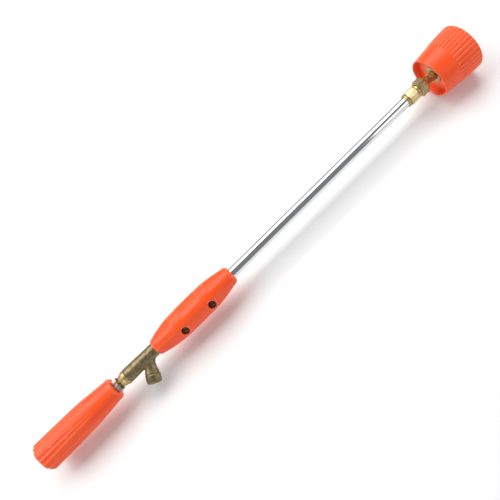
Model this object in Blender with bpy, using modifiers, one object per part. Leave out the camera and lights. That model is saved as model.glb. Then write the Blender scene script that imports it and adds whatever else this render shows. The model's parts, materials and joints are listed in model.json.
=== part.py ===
"""High-pressure orchard spray lance, modelled in metres with +Z up.

The lance lies along +X. Turning the rear handle drives a threaded spindle through the gland nut,
which moves a long rod inside the tube and opens or closes the nozzle inside the bell.

Every piece is placed from one empty, lance_axis. In that empty's space Z runs forward along the
lance from the handle's rear face, +X points to the side the hose branch is on, and -Y is the side
that shows the two nut pockets of the grip.
"""

import math

import bmesh
import bpy
from mathutils import Matrix

# ---------------------------------------------------------------- driving dimensions

LENGTH = 0.6117             # handle's rear face to the bell's front rim
GAP = 0.0003                # left between pieces that touch
BRANCH_DROP = math.radians(27)     # the hose branch lies this far below horizontal

HANDLE_LENGTH = 0.1049
HANDLE_END_FILLET = 0.0028
GROOVE_REACH = 0.0740       # the finger grooves fade out this far from the rear face
GROOVE_DEPTH = 0.0010
GROOVE_PAIRS = 6
GROOVE_SPACING = math.radians(8.5)  # from the middle ridge to each groove's floor
RECESS_RADIUS = 0.0110      # the round recess in the handle's rear, which the end cap closes
RECESS_FLOOR = 0.0160

SPINDLE_RADIUS = 0.0050
SPINDLE_REAR = 0.0075
SPINDLE_FRONT = 0.1440
SPINDLE_SOCKET_RADIUS = 0.0037
SPINDLE_SOCKET_DEPTH = 0.0110
LOCK_NUT_ACROSS_FLATS = 0.0140
LOCK_NUT_THICKNESS = 0.0061
REAR_NUT_ACROSS_FLATS = 0.0160
REAR_NUT_THICKNESS = 0.0050
REAR_WASHER_THICKNESS = 0.0010

BODY_REAR = 0.1222
BODY_FRONT = 0.1812
BODY_REAR_RADIUS = 0.0083
BODY_RADIUS = 0.0074
CHAMBER_RADIUS = 0.0045
CHAMBER_REAR = 0.1480
GLAND_REAR = 0.1131         # 1.8 mm ahead of the lock nut, which is all the room for closing the nozzle
GLAND_REAR_RADIUS = 0.0062
GLAND_RADIUS = 0.0082
GLAND_CHAMFER_LENGTH = 0.0054
GLAND_BOSS_RADIUS = 0.0064
GLAND_BOSS_FRONT = 0.1298
PACKING_THICKNESS = 0.0030
PACKING_WASHER_THICKNESS = 0.0019
PACKING_REAR = GLAND_BOSS_FRONT + GAP
PACKING_WASHER_REAR = PACKING_REAR + PACKING_THICKNESS + GAP
PACKING_ROOM_FRONT = PACKING_WASHER_REAR + PACKING_WASHER_THICKNESS + GAP

BRANCH_STATION = 0.1512     # where the branch's axis meets the lance's axis
BRANCH_ANGLE = math.radians(60.5)  # between the branch and the rearward axis
BRANCH_LENGTH = 0.0288
BRANCH_ROOT_RADIUS = 0.0061
BRANCH_ROOT_LENGTH = 0.0100        # beyond this it flares toward the collar
BRANCH_SHOULDER_RADIUS = 0.0076
BRANCH_COLLAR_RADIUS = 0.0081
BRANCH_COLLAR_LENGTH = 0.0098
INLET_RADIUS = 0.0059       # tapping size of a G1/4 female thread
INLET_DEPTH = 0.0100
CHANNEL_RADIUS = 0.0035
CROTCH_FILLET = 0.0050      # in the front corner between the branch and the barrel

GRIP_REAR = 0.1629
GRIP_LENGTH = 0.1109
GRIP_RADIUS = 0.0152
GRIP_REAR_FILLET = 0.0007
GRIP_FRONT_FILLET = 0.0030
GRIP_ROLL = math.radians(2)        # the grip is clamped on turned this far toward the branch
GRIP_BANDS = (0.1996, 0.2378)      # middles of the two raised bands
BAND_HALF_WIDTH = 0.0060
BAND_EDGE_WIDTH = 0.0008
SCOOP_DEPTH = 0.0014
SCOOP_HALF_ANGLE = math.radians(31)
SCOOP_COUNT = 4

GRIP_SCREW_OFFSET = 0.0084  # from the lance's axis, so the screws pass beside the tube
GRIP_SCREW_RADIUS = 0.0020
GRIP_NUT_ACROSS_FLATS = 0.0070
GRIP_NUT_THICKNESS = 0.0032
GRIP_POCKET_RADIUS = 0.0043
GRIP_NUT_SEAT = 0.0052      # pocket floors, measured from the split between the halves
GRIP_HEAD_RADIUS = 0.0038
GRIP_HEAD_HEIGHT = 0.0028
GRIP_HEAD_SEAT = 0.0062

TUBE_RADIUS = 0.0060
TUBE_BORE = 0.0045
TUBE_REAR = 0.1655
TUBE_FRONT = 0.5395

ROD_RADIUS = 0.0020
ROD_HEAD_RADIUS = 0.0034
ROD_HEAD_THICKNESS = 0.0034
ROD_HEAD_REAR = SPINDLE_FRONT - SPINDLE_SOCKET_DEPTH + 0.0006
ROD_SPIGOT_RADIUS = 0.0012
ROD_SPIGOT_LENGTH = 0.0033
CORE_RADIUS = 0.0024
CORE_LENGTH = 0.0098
CORE_POINT_LENGTH = 0.0030
CORE_TIP = 0.5879           # 1.5 mm short of the place where the point fills the orifice
CORE_REAR = CORE_TIP - CORE_LENGTH

COLLAR_REAR = 0.5279
COLLAR_RADIUS = 0.0070
ADAPTER_REAR = 0.5312
ADAPTER_FRONT = 0.5424
ADAPTER_ACROSS_FLATS = 0.0145
ADAPTER_SPIGOT_RADIUS = 0.0047
ADAPTER_SPIGOT_BORE = 0.0035
ADAPTER_SPIGOT_FRONT = 0.5524
ADAPTER_WASHER_RADIUS = 0.0074
NOZZLE_HEX_REAR = 0.5455
NOZZLE_HEX_FRONT = 0.5556
NOZZLE_ACROSS_FLATS = 0.0165
NECK_RADIUS = 0.0040
NECK_BORE = 0.0028
NECK_FRONT = 0.5870
BELL_NUT_REAR = 0.5628
BELL_NUT_THICKNESS = 0.0048
BELL_NUT_ACROSS_FLATS = 0.0104
BELL_WASHER_REAR = 0.5680
BELL_WASHER_RADIUS = 0.0097
CAP_REAR = 0.5728
CAP_HEX_FRONT = 0.5815
CAP_FRONT = 0.5935
CAP_ACROSS_FLATS = 0.0140
CAP_NOSE_RADIUS = 0.0062
DISC_REAR = 0.5891
DISC_THICKNESS = 0.0012
ORIFICE_RADIUS = 0.0008

BELL_REAR = 0.5623
BELL_WEB_REAR = 0.5695
BELL_WEB_FRONT = 0.5725
BELL_FLUTES_REAR = 0.5839
BELL_SWELL = 0.5980         # where the bell has nearly reached its full width
BELL_REAR_RADIUS = 0.0236
BELL_STEP_RADIUS = 0.0255
BELL_FRONT_RADIUS = 0.0269
BELL_WALL = 0.0020
BELL_REAR_FILLET = 0.0006
BELL_FRONT_FILLET = 0.0018
FLUTE_COUNT = 36
FLUTE_DEPTH = 0.0008

AXIS_HEIGHT = BELL_FRONT_RADIUS    # the bell's rim touches the ground
SHARP_ANGLE = math.radians(32)
ROUND_STEPS = 20            # sides of the small round pieces
WIDE_STEPS = 36             # sides of the bell's hollow
GRIP_POINTS = 40            # points round the grip
FIRST_CONE_CORNER = math.pi / 2     # Blender starts a cone's ring of corners on +Y

ORANGE = (1.0, 0.127, 0.038)
FORGED_BRASS = (0.205, 0.162, 0.076)
TURNED_BRASS = (0.578, 0.413, 0.148)
GOLD_BRASS = (0.515, 0.305, 0.061)
COPPER = (0.680, 0.262, 0.141)
CHROME = (0.78, 0.78, 0.79)
STEEL = (0.46, 0.46, 0.47)
NICKEL = (0.30, 0.27, 0.24)
PACKING_WHITE = (0.80, 0.79, 0.74)
RUBBER_BLACK = (0.020, 0.020, 0.022)


# ---------------------------------------------------------------- scene and materials

def clear_scene():
    """Remove every object, so that the file can be run again."""
    for obj in list(bpy.data.objects):
        bpy.data.objects.remove(obj, do_unlink=True)


def make_collection(name):
    """Add a collection of this name to the scene."""
    collection = bpy.data.collections.new(name)
    bpy.context.scene.collection.children.link(collection)
    return collection


def make_material(name, colour, roughness, metallic):
    """A Principled material of one colour."""
    material = bpy.data.materials.new(name)
    material.use_nodes = True
    shader = material.node_tree.nodes["Principled BSDF"]
    shader.inputs["Base Color"].default_value = (*colour, 1.0)
    shader.inputs["Roughness"].default_value = roughness
    shader.inputs["Metallic"].default_value = metallic
    material.diffuse_color = (*colour, 1.0)
    return material


def make_empty(name, collection, parent=None):
    """An empty that carries pieces placed in its space."""
    empty = bpy.data.objects.new(name, None)
    empty.empty_display_size = 0.02
    empty.parent = parent
    collection.objects.link(empty)
    return empty


def place(name, mesh, collection, parent, material=None):
    """Put a mesh in the scene as a named object under its empty."""
    obj = bpy.data.objects.new(name, mesh)
    obj.parent = parent
    collection.objects.link(obj)
    if material is not None:
        mesh.materials.append(material)
    return obj


def place_cutter(name, mesh, parent):
    """Put a mesh in the scene as a shape that only cuts, joins or trims others."""
    obj = place(name, mesh, cutters, parent)
    obj.hide_render = True
    obj.display_type = "WIRE"
    return obj


# ---------------------------------------------------------------- shapes

def outline_mesh(name, outline, closed):
    """A profile in the XZ plane for the Screw modifier, laid from the front to the rear.

    The outline lists (distance forward, radius) pairs that run forward along the outside.
    """
    mesh = bpy.data.meshes.new(name)
    points = [(radius, 0.0, forward) for forward, radius in reversed(outline)]
    edges = [(i, i + 1) for i in range(len(points) - 1)]
    if closed:
        edges.append((len(points) - 1, 0))
    mesh.from_pydata(points, edges, [])
    return mesh


def add_screw(obj, steps):
    """Turn the object's profile right round its Z axis."""
    screw = obj.modifiers.new("turn", "SCREW")
    screw.axis = "Z"
    screw.angle = math.tau
    screw.steps = steps
    screw.render_steps = steps
    screw.use_merge_vertices = True
    screw.merge_threshold = 0.00001
    screw.use_smooth_shade = True


def turned(name, outside, bore, material, parent, steps=ROUND_STEPS):
    """A turned piece with a bore through it; both outlines run forward."""
    outline = list(outside) + list(reversed(bore))
    obj = place(name, outline_mesh(name, outline, closed=True), parts, parent, material)
    add_screw(obj, steps)
    return obj


def solid_outline(outside):
    """Close an outside outline onto the axis at both ends."""
    return [(outside[0][0], 0.0)] + list(outside) + [(outside[-1][0], 0.0)]


def turned_solid(name, outside, material, parent, steps=ROUND_STEPS):
    """A turned piece with no bore."""
    mesh = outline_mesh(name, solid_outline(outside), closed=False)
    obj = place(name, mesh, parts, parent, material)
    add_screw(obj, steps)
    return obj


def turned_cutter(name, outside, parent, steps=ROUND_STEPS):
    """A turned solid used only to cut or join."""
    obj = place_cutter(name, outline_mesh(name, solid_outline(outside), closed=False), parent)
    add_screw(obj, steps)
    return obj


def prism_mesh(name, sides, across_flats, start, end, turn=0.0):
    """A regular prism along Z, with its first corner turned by the given angle from +X."""
    mesh = bpy.data.meshes.new(name)
    corner_radius = across_flats / 2 / math.cos(math.pi / sides)
    shape = bmesh.new()
    bmesh.ops.create_cone(shape, cap_ends=True, segments=sides,
                          radius1=corner_radius, radius2=corner_radius, depth=end - start)
    shape.transform(Matrix.Translation((0.0, 0.0, (start + end) / 2)))
    shape.transform(Matrix.Rotation(turn - FIRST_CONE_CORNER, 4, "Z"))
    shape.to_mesh(mesh)
    shape.free()
    return mesh


def box_mesh(name, low, high):
    """A box between two corners."""
    mesh = bpy.data.meshes.new(name)
    shape = bmesh.new()
    bmesh.ops.create_cube(shape, size=1.0)
    for vert in shape.verts:
        vert.co = [(a + b) / 2 + part * (b - a) for a, b, part in zip(low, high, vert.co)]
    shape.to_mesh(mesh)
    shape.free()
    return mesh


def lofted_mesh(name, stations, count, point_at):
    """A solid skinned through one ring of points at each station.

    point_at(station, index) gives the angle and the radius of a ring's point.
    """
    mesh = bpy.data.meshes.new(name)
    shape = bmesh.new()
    rings = []
    for station in stations:
        ring = []
        for index in range(count):
            angle, radius = point_at(station, index)
            ring.append(shape.verts.new((radius * math.cos(angle), radius * math.sin(angle), station)))
        rings.append(ring)
    for ring, following in zip(rings, rings[1:]):
        for i in range(count):
            j = (i + 1) % count
            shape.faces.new((ring[i], ring[j], following[j], following[i]))
    shape.faces.new(list(reversed(rings[0])))
    shape.faces.new(rings[-1])
    shape.to_mesh(mesh)
    shape.free()
    return mesh


def combine(obj, tool, operation):
    """Cut, join or trim an object with another one."""
    boolean = obj.modifiers.new(tool.name, "BOOLEAN")
    boolean.operation = operation
    boolean.solver = "EXACT"
    boolean.object = tool


def trim_to_hexagon(obj, across_flats, start, end, turn):
    """Trim a turned blank to wrench flats between two stations."""
    mesh = prism_mesh(obj.name + "_hexagon", 6, across_flats, start, end, turn)
    combine(obj, place_cutter(mesh.name, mesh, obj.parent), "INTERSECT")


def apply_modifiers(obj):
    """Keep the modelled shape as the mesh, smooth on round faces and sharp at edges."""
    graph = bpy.context.evaluated_depsgraph_get()
    mesh = bpy.data.meshes.new_from_object(obj.evaluated_get(graph))
    obj.modifiers.clear()
    obj.data = mesh
    mesh.shade_smooth()
    mesh.set_sharp_from_angle(angle=SHARP_ANGLE)


def smooth_between(points, at):
    """Read a smooth curve through (position, value) points, by cubic pieces with eased slopes."""
    for i in range(len(points) - 1):
        (start, low), (end, high) = points[i], points[i + 1]
        if at <= end or i == len(points) - 2:
            break
    before = points[max(i - 1, 0)]
    after = points[min(i + 2, len(points) - 1)]
    slope_in = (high - before[1]) / (end - before[0])
    slope_out = (after[1] - low) / (after[0] - start)
    width = end - start
    t = min(max((at - start) / width, 0.0), 1.0)
    return ((2 * t**3 - 3 * t**2 + 1) * low + (t**3 - 2 * t**2 + t) * width * slope_in
            + (3 * t**2 - 2 * t**3) * high + (t**3 - t**2) * width * slope_out)


def end_rounding(distance, fillet):
    """How far a fillet draws the surface in, at a distance from the piece's end."""
    if distance >= fillet:
        return 0.0
    inside = fillet - distance
    return fillet - math.sqrt(fillet**2 - inside**2)


def fillet_stations(end, fillet, direction):
    """Stations that follow a fillet from a piece's end inward."""
    steps = (0.0, 0.22, 1.0)
    return [end + direction * fillet * step for step in steps]


def hex_blank(start, end, across_flats, chamfer=0.0008):
    """Outside outline of a nut before its flats are cut, with chamfered corners."""
    corner_radius = across_flats / 2 / math.cos(math.pi / 6)
    face_radius = across_flats / 2 * 0.96
    return [(start, face_radius), (start + chamfer, corner_radius),
            (end - chamfer, corner_radius), (end, face_radius)]


def plain_bore(start, end, radius):
    """A straight bore between two stations."""
    return [(start, radius), (end, radius)]


def ring_outline(start, end, outer, edge=0.0):
    """Outside outline of a plain ring, with its corners taken off if an edge is given."""
    if edge == 0.0:
        return [(start, outer), (end, outer)]
    return [(start, outer - edge), (start + edge, outer), (end - edge, outer), (end, outer - edge)]


def facing_corner(turn_toward_branch):
    """Angle of a hexagon's corner that faces -Y, turned toward the branch by this much."""
    return -math.pi / 2 + turn_toward_branch


def facing_flat(turn_toward_branch):
    """Angle of the corner next to a flat that faces -Y."""
    return -math.pi / 2 + turn_toward_branch + math.pi / 6


# ---------------------------------------------------------------- rear handle and spindle

def handle_radius(station):
    """The handle's outer radius between its grooves."""
    curve = [(0.0, 0.0169), (0.035, 0.0165), (0.063, 0.0158), (0.085, 0.0140), (0.0985, 0.0128),
             (HANDLE_LENGTH, 0.0126)]
    nearest_end = min(station, HANDLE_LENGTH - station)
    return smooth_between(curve, station) - end_rounding(nearest_end, HANDLE_END_FILLET)


def handle_point(station, index):
    """A ring of twelve points for each pair of grooves: nine across the pair, three between."""
    pair, place_in_pair = divmod(index, 12)
    fade = max(0.0, 1.0 - station / GROOVE_REACH)
    spread = GROOVE_SPACING * (0.45 + 0.55 * fade)
    pitch = math.tau / GROOVE_PAIRS
    if place_in_pair < 9:
        across = (place_in_pair - 4) / 2
        offset = across * spread
        floor_share = 1 - (abs(across) - 1) ** 2
    else:
        panel = pitch - 4 * spread
        offset = 2 * spread + panel * (place_in_pair - 8) / 4
        floor_share = 0.0
    angle = facing_corner(0.0) + pair * pitch + offset
    radius = handle_radius(station) - GROOVE_DEPTH * math.sqrt(fade) * floor_share
    return angle, radius


def make_handle(axis, material):
    """The moulded rear handle, with six pairs of finger grooves and a recess for its nut."""
    stations = fillet_stations(0.0, HANDLE_END_FILLET, 1)
    stations += [0.024, 0.046, 0.062, GROOVE_REACH, 0.085, 0.0985]
    stations += reversed(fillet_stations(HANDLE_LENGTH, HANDLE_END_FILLET, -1))
    mesh = lofted_mesh("handle", stations, GROOVE_PAIRS * 12, handle_point)
    handle = place("handle", mesh, parts, axis, material)
    bore = SPINDLE_RADIUS + GAP
    hollow = [(-0.01, RECESS_RADIUS), (RECESS_FLOOR, RECESS_RADIUS), (RECESS_FLOOR, bore),
              (HANDLE_LENGTH + 0.01, bore)]
    combine(handle, turned_cutter("handle_hollow", hollow, axis), "DIFFERENCE")
    return handle


def make_handle_end_cap(axis, material):
    """The round plug that closes the handle's rear recess, slightly dished."""
    rear, thickness, rim = 0.0006, 0.0040, RECESS_RADIUS - GAP
    dish = [(rear + 0.0008, 0.0060), (rear, 0.0092), (rear + 0.0006, rim), (rear + thickness, rim)]
    return turned_solid("handle_end_cap", dish, material, axis)


def make_handle_fasteners(axis, steel, nickel):
    """The nut and washer inside the handle, and the lock nut against its front face."""
    bore = SPINDLE_RADIUS + GAP
    washer_front = RECESS_FLOOR - GAP
    washer_rear = washer_front - REAR_WASHER_THICKNESS
    washer = turned("spindle_washer", ring_outline(washer_rear, washer_front, 0.0095),
                    plain_bore(washer_rear, washer_front, bore), steel, axis)
    nut_front = washer_rear - GAP
    nut_rear = nut_front - REAR_NUT_THICKNESS
    nut = turned("spindle_rear_nut", hex_blank(nut_rear, nut_front, REAR_NUT_ACROSS_FLATS),
                 plain_bore(nut_rear, nut_front, bore), steel, axis)
    trim_to_hexagon(nut, REAR_NUT_ACROSS_FLATS, 0.0, RECESS_FLOOR, 0.0)
    start = HANDLE_LENGTH + GAP
    end = start + LOCK_NUT_THICKNESS
    lock_nut = turned("handle_lock_nut", hex_blank(start, end, LOCK_NUT_ACROSS_FLATS),
                      plain_bore(start, end, bore), nickel, axis)
    trim_to_hexagon(lock_nut, LOCK_NUT_ACROSS_FLATS, start - 0.01, end + 0.01,
                    facing_corner(math.radians(-6)))
    return [washer, nut, lock_nut]


def make_spindle(axis, material):
    """The threaded spindle, with a socket in its nose for the rod's head."""
    edge = 0.0006
    socket_floor = SPINDLE_FRONT - SPINDLE_SOCKET_DEPTH
    outline = [(SPINDLE_REAR, SPINDLE_RADIUS - edge), (SPINDLE_REAR + edge, SPINDLE_RADIUS),
               (SPINDLE_FRONT - edge, SPINDLE_RADIUS), (SPINDLE_FRONT, SPINDLE_RADIUS - edge)]
    spindle = turned_solid("spindle", outline, material, axis)
    socket = [(socket_floor, SPINDLE_SOCKET_RADIUS), (SPINDLE_FRONT + 0.01, SPINDLE_SOCKET_RADIUS)]
    combine(spindle, turned_cutter("spindle_socket", socket, axis), "DIFFERENCE")
    return spindle


def make_rod_retainer(axis, material):
    """The ring in the spindle's nose that keeps the rod's head in, yet lets it swivel."""
    start = ROD_HEAD_REAR + ROD_HEAD_THICKNESS + 0.0004
    end = SPINDLE_FRONT - 0.0004
    return turned("rod_retainer", ring_outline(start, end, ROD_HEAD_RADIUS),
                  plain_bore(start, end, ROD_RADIUS + GAP), material, axis)


# ---------------------------------------------------------------- control rod

def make_control_rod(axis, material):
    """The long rod inside the tube, with a head at the rear and a spigot at the front."""
    head_front = ROD_HEAD_REAR + ROD_HEAD_THICKNESS
    front = CORE_REAR - GAP
    outline = [(ROD_HEAD_REAR, ROD_HEAD_RADIUS), (head_front, ROD_HEAD_RADIUS),
               (head_front, ROD_RADIUS), (front, ROD_RADIUS),
               (front, ROD_SPIGOT_RADIUS), (front + ROD_SPIGOT_LENGTH, ROD_SPIGOT_RADIUS)]
    return turned_solid("control_rod", outline, material, axis)


def make_swirl_core(axis, material):
    """The pointed core on the rod's end, which spins the water and shuts the orifice."""
    tip = 0.0004
    outline = [(CORE_REAR, CORE_RADIUS), (CORE_TIP - CORE_POINT_LENGTH, CORE_RADIUS), (CORE_TIP, tip)]
    core = turned_solid("swirl_core", outline, material, axis)
    socket_radius = ROD_SPIGOT_RADIUS + GAP
    socket = [(CORE_REAR - 0.01, socket_radius), (CORE_REAR + ROD_SPIGOT_LENGTH, socket_radius)]
    combine(core, turned_cutter("swirl_core_socket", socket, axis), "DIFFERENCE")
    return core


# ---------------------------------------------------------------- gland and valve body

def make_gland(axis, brass, packing):
    """The gland nut behind the body, and the packing and washer that it presses."""
    bore = SPINDLE_RADIUS + GAP
    flange_front = BODY_REAR - GAP
    outside = [(GLAND_REAR, GLAND_REAR_RADIUS), (GLAND_REAR + GLAND_CHAMFER_LENGTH, GLAND_RADIUS),
               (flange_front, GLAND_RADIUS), (flange_front, GLAND_BOSS_RADIUS),
               (GLAND_BOSS_FRONT, GLAND_BOSS_RADIUS)]
    nut = turned("gland_nut", outside, plain_bore(GLAND_REAR, GLAND_BOSS_FRONT, bore), brass, axis)
    packing_front = PACKING_REAR + PACKING_THICKNESS
    ring = turned("packing_ring", ring_outline(PACKING_REAR, packing_front, GLAND_BOSS_RADIUS),
                  plain_bore(PACKING_REAR, packing_front, bore), packing, axis)
    washer_front = PACKING_WASHER_REAR + PACKING_WASHER_THICKNESS
    washer = turned("packing_washer", ring_outline(PACKING_WASHER_REAR, washer_front, GLAND_BOSS_RADIUS),
                    plain_bore(PACKING_WASHER_REAR, washer_front, bore), brass, axis)
    return [nut, ring, washer]


def branch_outline():
    """Outside of the hose branch: a root that flares, a groove, then the threaded collar."""
    collar_start = BRANCH_LENGTH - BRANCH_COLLAR_LENGTH
    flare = BRANCH_SHOULDER_RADIUS - BRANCH_ROOT_RADIUS
    fillet = 0.0012
    return [(0.0, BRANCH_ROOT_RADIUS), (BRANCH_ROOT_LENGTH, BRANCH_ROOT_RADIUS),
            (BRANCH_ROOT_LENGTH + 0.0030, BRANCH_ROOT_RADIUS + 0.2 * flare),
            (BRANCH_ROOT_LENGTH + 0.0060, BRANCH_ROOT_RADIUS + 0.7 * flare),
            (collar_start - 0.0012, BRANCH_SHOULDER_RADIUS), (collar_start - 0.0004, BRANCH_SHOULDER_RADIUS),
            (collar_start, BRANCH_SHOULDER_RADIUS - 0.0004), (collar_start + 0.0006, BRANCH_COLLAR_RADIUS),
            (BRANCH_LENGTH - fillet, BRANCH_COLLAR_RADIUS),
            (BRANCH_LENGTH - 0.3 * fillet, BRANCH_COLLAR_RADIUS - 0.3 * fillet),
            (BRANCH_LENGTH, BRANCH_COLLAR_RADIUS - fillet)]


def crotch_web_mesh():
    """A web in the XZ plane that fills the branch's front corner with a concave fillet."""
    sine, cosine = math.sin(BRANCH_ANGLE), math.cos(BRANCH_ANGLE)
    sunk_radius = BRANCH_ROOT_RADIUS - 0.0002
    run = (BODY_RADIUS - cosine * sunk_radius) / sine
    corner_z = BRANCH_STATION + sine * sunk_radius - cosine * run
    open_angle = math.pi - BRANCH_ANGLE
    tangent = CROTCH_FILLET / math.tan(open_angle / 2)
    centre_x = BODY_RADIUS + CROTCH_FILLET
    centre_z = corner_z + tangent
    points = [(0.0, BRANCH_STATION), (0.0, centre_z)]
    arc_steps = 6
    for step in range(arc_steps + 1):
        angle = math.pi + (math.pi - open_angle) * step / arc_steps
        points.append((centre_x + CROTCH_FILLET * math.cos(angle),
                       centre_z + CROTCH_FILLET * math.sin(angle)))
    reach = 1.15 * BRANCH_ROOT_LENGTH
    points.append((sine * reach, BRANCH_STATION - cosine * reach))
    half_thickness = 0.0042
    outline = bpy.data.curves.new("crotch_web_outline", "CURVE")
    outline.dimensions = "2D"
    outline.fill_mode = "BOTH"
    outline.extrude = half_thickness
    spline = outline.splines.new("POLY")
    spline.points.add(len(points) - 1)
    for point, (x, z) in zip(spline.points, points):
        point.co = (x, z, 0.0, 1.0)
    spline.use_cyclic_u = True
    holder = bpy.data.objects.new("crotch_web_outline", outline)
    cutters.objects.link(holder)
    graph = bpy.context.evaluated_depsgraph_get()
    mesh = bpy.data.meshes.new_from_object(holder.evaluated_get(graph))
    bpy.data.objects.remove(holder, do_unlink=True)
    shape = bmesh.new()
    shape.from_mesh(mesh)
    bmesh.ops.remove_doubles(shape, verts=shape.verts, dist=0.00001)
    for vert in shape.verts:
        vert.co = (vert.co.x, -vert.co.z, vert.co.y)
    bmesh.ops.recalc_face_normals(shape, faces=shape.faces)
    shape.to_mesh(mesh)
    shape.free()
    return mesh


def make_valve_body(axis, branch_axis, material):
    """The forged body: a straight barrel with the hose branch growing out of its side."""
    taper_end = BRANCH_STATION + 0.0022
    edge = 0.0006
    outside = [(BODY_REAR, BODY_REAR_RADIUS - edge), (BODY_REAR + edge, BODY_REAR_RADIUS),
               (taper_end, BODY_RADIUS), (BODY_FRONT, BODY_RADIUS)]
    body = turned_solid("valve_body", outside, material, axis)
    combine(body, turned_cutter("branch_blank", branch_outline(), branch_axis), "UNION")
    web = place_cutter("crotch_web", crotch_web_mesh(), axis)
    combine(body, web, "UNION")
    packing_bore = GLAND_BOSS_RADIUS + GAP
    spindle_bore = SPINDLE_RADIUS + GAP
    tube_bore = TUBE_RADIUS + GAP
    bore = [(BODY_REAR - 0.01, packing_bore), (PACKING_ROOM_FRONT, packing_bore),
            (PACKING_ROOM_FRONT, spindle_bore), (CHAMBER_REAR, spindle_bore),
            (CHAMBER_REAR, CHAMBER_RADIUS), (TUBE_REAR - GAP, CHAMBER_RADIUS),
            (TUBE_REAR - GAP, tube_bore), (BODY_FRONT + 0.01, tube_bore)]
    combine(body, turned_cutter("body_bore", bore, axis), "DIFFERENCE")
    channel = [(0.0010, CHANNEL_RADIUS), (BRANCH_LENGTH - INLET_DEPTH, CHANNEL_RADIUS),
               (BRANCH_LENGTH - INLET_DEPTH, INLET_RADIUS), (BRANCH_LENGTH + 0.01, INLET_RADIUS)]
    combine(body, turned_cutter("branch_channel", channel, branch_axis), "DIFFERENCE")
    return body


# ---------------------------------------------------------------- grip

def grip_radius(station):
    """The grip's outer radius on its ridges."""
    curve = [(0.0, 0.0089), (0.008, 0.0113), (0.020, 0.0136), (0.033, GRIP_RADIUS - 0.0001),
             (0.075, GRIP_RADIUS), (0.087, 0.0141), (0.0995, 0.0120), (GRIP_LENGTH, 0.0099)]
    forward = station - GRIP_REAR
    return (smooth_between(curve, forward) - end_rounding(forward, GRIP_REAR_FILLET)
            - end_rounding(GRIP_LENGTH - forward, GRIP_FRONT_FILLET))


def scoop_depth(station):
    """Depth of the four scooped columns, which the two bands interrupt and the ends fade out."""
    forward = station - GRIP_REAR
    depth = SCOOP_DEPTH * min(1.0, min(forward, GRIP_LENGTH - forward) / 0.030)
    for band in GRIP_BANDS:
        beyond_band = abs(station - band) - BAND_HALF_WIDTH
        depth *= min(max(beyond_band / BAND_EDGE_WIDTH, 0.0), 1.0)
    return depth


def grip_point(station, index):
    """A point on the grip's surface, scooped between its four ridges."""
    angle = math.tau * index / GRIP_POINTS
    column = (angle + math.pi / SCOOP_COUNT) % (math.tau / SCOOP_COUNT)
    from_middle = abs(column - math.pi / SCOOP_COUNT)
    from_ridge_middle = math.pi / SCOOP_COUNT - from_middle
    across = from_ridge_middle / SCOOP_HALF_ANGLE
    share = max(0.0, 1.0 - across**2)
    return angle, grip_radius(station) - scoop_depth(station) * share


def grip_stations():
    """Stations along the grip, close together where the bands step up."""
    front = GRIP_REAR + GRIP_LENGTH
    stations = fillet_stations(GRIP_REAR, GRIP_REAR_FILLET, 1)
    stations += [GRIP_REAR + 0.008, GRIP_REAR + 0.020]
    for band in GRIP_BANDS:
        reach, foot = BAND_HALF_WIDTH, BAND_HALF_WIDTH + BAND_EDGE_WIDTH
        stations += [band - foot, band - reach, band + reach, band + foot]
    stations += [front - 0.0240, front - 0.0114]
    stations += reversed(fillet_stations(front, GRIP_FRONT_FILLET, -1))
    return stations


def grip_hollow_outline():
    """Inside of the grip: the body's socket, the tube's bore and two cored-out rooms."""
    front = GRIP_REAR + GRIP_LENGTH
    socket = BODY_RADIUS + GAP
    bore = TUBE_RADIUS + GAP
    socket_front = BODY_FRONT + GAP
    beside_band = 0.0085
    middle_room = (GRIP_BANDS[0] + beside_band, GRIP_BANDS[1] - beside_band)
    front_room = (GRIP_BANDS[1] + beside_band, front - 0.0110)
    wide, narrow = 0.0112, 0.0085
    return [(GRIP_REAR - 0.01, socket), (socket_front, socket), (socket_front, bore),
            (middle_room[0], bore), (middle_room[0], wide),
            (middle_room[1], wide), (middle_room[1], bore),
            (front_room[0], bore), (front_room[0], wide),
            (front_room[1], narrow), (front_room[1], bore), (front + 0.01, bore)]


def set_across_grip(obj, band):
    """Lay a shape modelled along Z across the grip, where a screw goes at this band."""
    obj.location = (GRIP_SCREW_OFFSET, 0.0, band)
    obj.rotation_euler = (-math.pi / 2, 0.0, 0.0)
    return obj


def cut_nut_room(half, name, band, grip_axis):
    """Cut a screw's hole and the round pocket that its nut lies in."""
    radius = GRIP_SCREW_RADIUS + GAP
    outline = [(-0.03, GRIP_POCKET_RADIUS), (-GRIP_NUT_SEAT, GRIP_POCKET_RADIUS),
               (-GRIP_NUT_SEAT, radius), (0.03, radius)]
    room = turned_cutter(name + "_nut_room", outline, grip_axis)
    combine(half, set_across_grip(room, band), "DIFFERENCE")


def cut_head_room(half, name, band, grip_axis):
    """Cut a screw's hole and the round pocket that holds its head."""
    radius = GRIP_SCREW_RADIUS + GAP
    head_radius = GRIP_HEAD_RADIUS + GAP
    outline = [(-0.03, radius), (GRIP_HEAD_SEAT, radius), (GRIP_HEAD_SEAT, head_radius),
               (0.03, head_radius)]
    room = turned_cutter(name + "_head_room", outline, grip_axis)
    combine(half, set_across_grip(room, band), "DIFFERENCE")


def make_grip_half(name, side, cut_fastener_room, grip_axis, material):
    """One half shell of the grip, on the given side of the split plane."""
    mesh = lofted_mesh(name, grip_stations(), GRIP_POINTS, grip_point)
    half = place(name, mesh, parts, grip_axis, material)
    reach = 0.05
    split = side * GAP / 2
    low, high = (-reach, split) if side > 0 else (split, reach)
    waste = box_mesh(name + "_waste", (-reach, low, 0.10), (reach, high, 0.35))
    combine(half, place_cutter(name + "_waste", waste, grip_axis), "DIFFERENCE")
    combine(half, turned_cutter(name + "_hollow", grip_hollow_outline(), grip_axis), "DIFFERENCE")
    for place_name, band in zip(("rear", "front"), GRIP_BANDS):
        cut_fastener_room(half, f"{name}_{place_name}", band, grip_axis)
    return half


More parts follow.
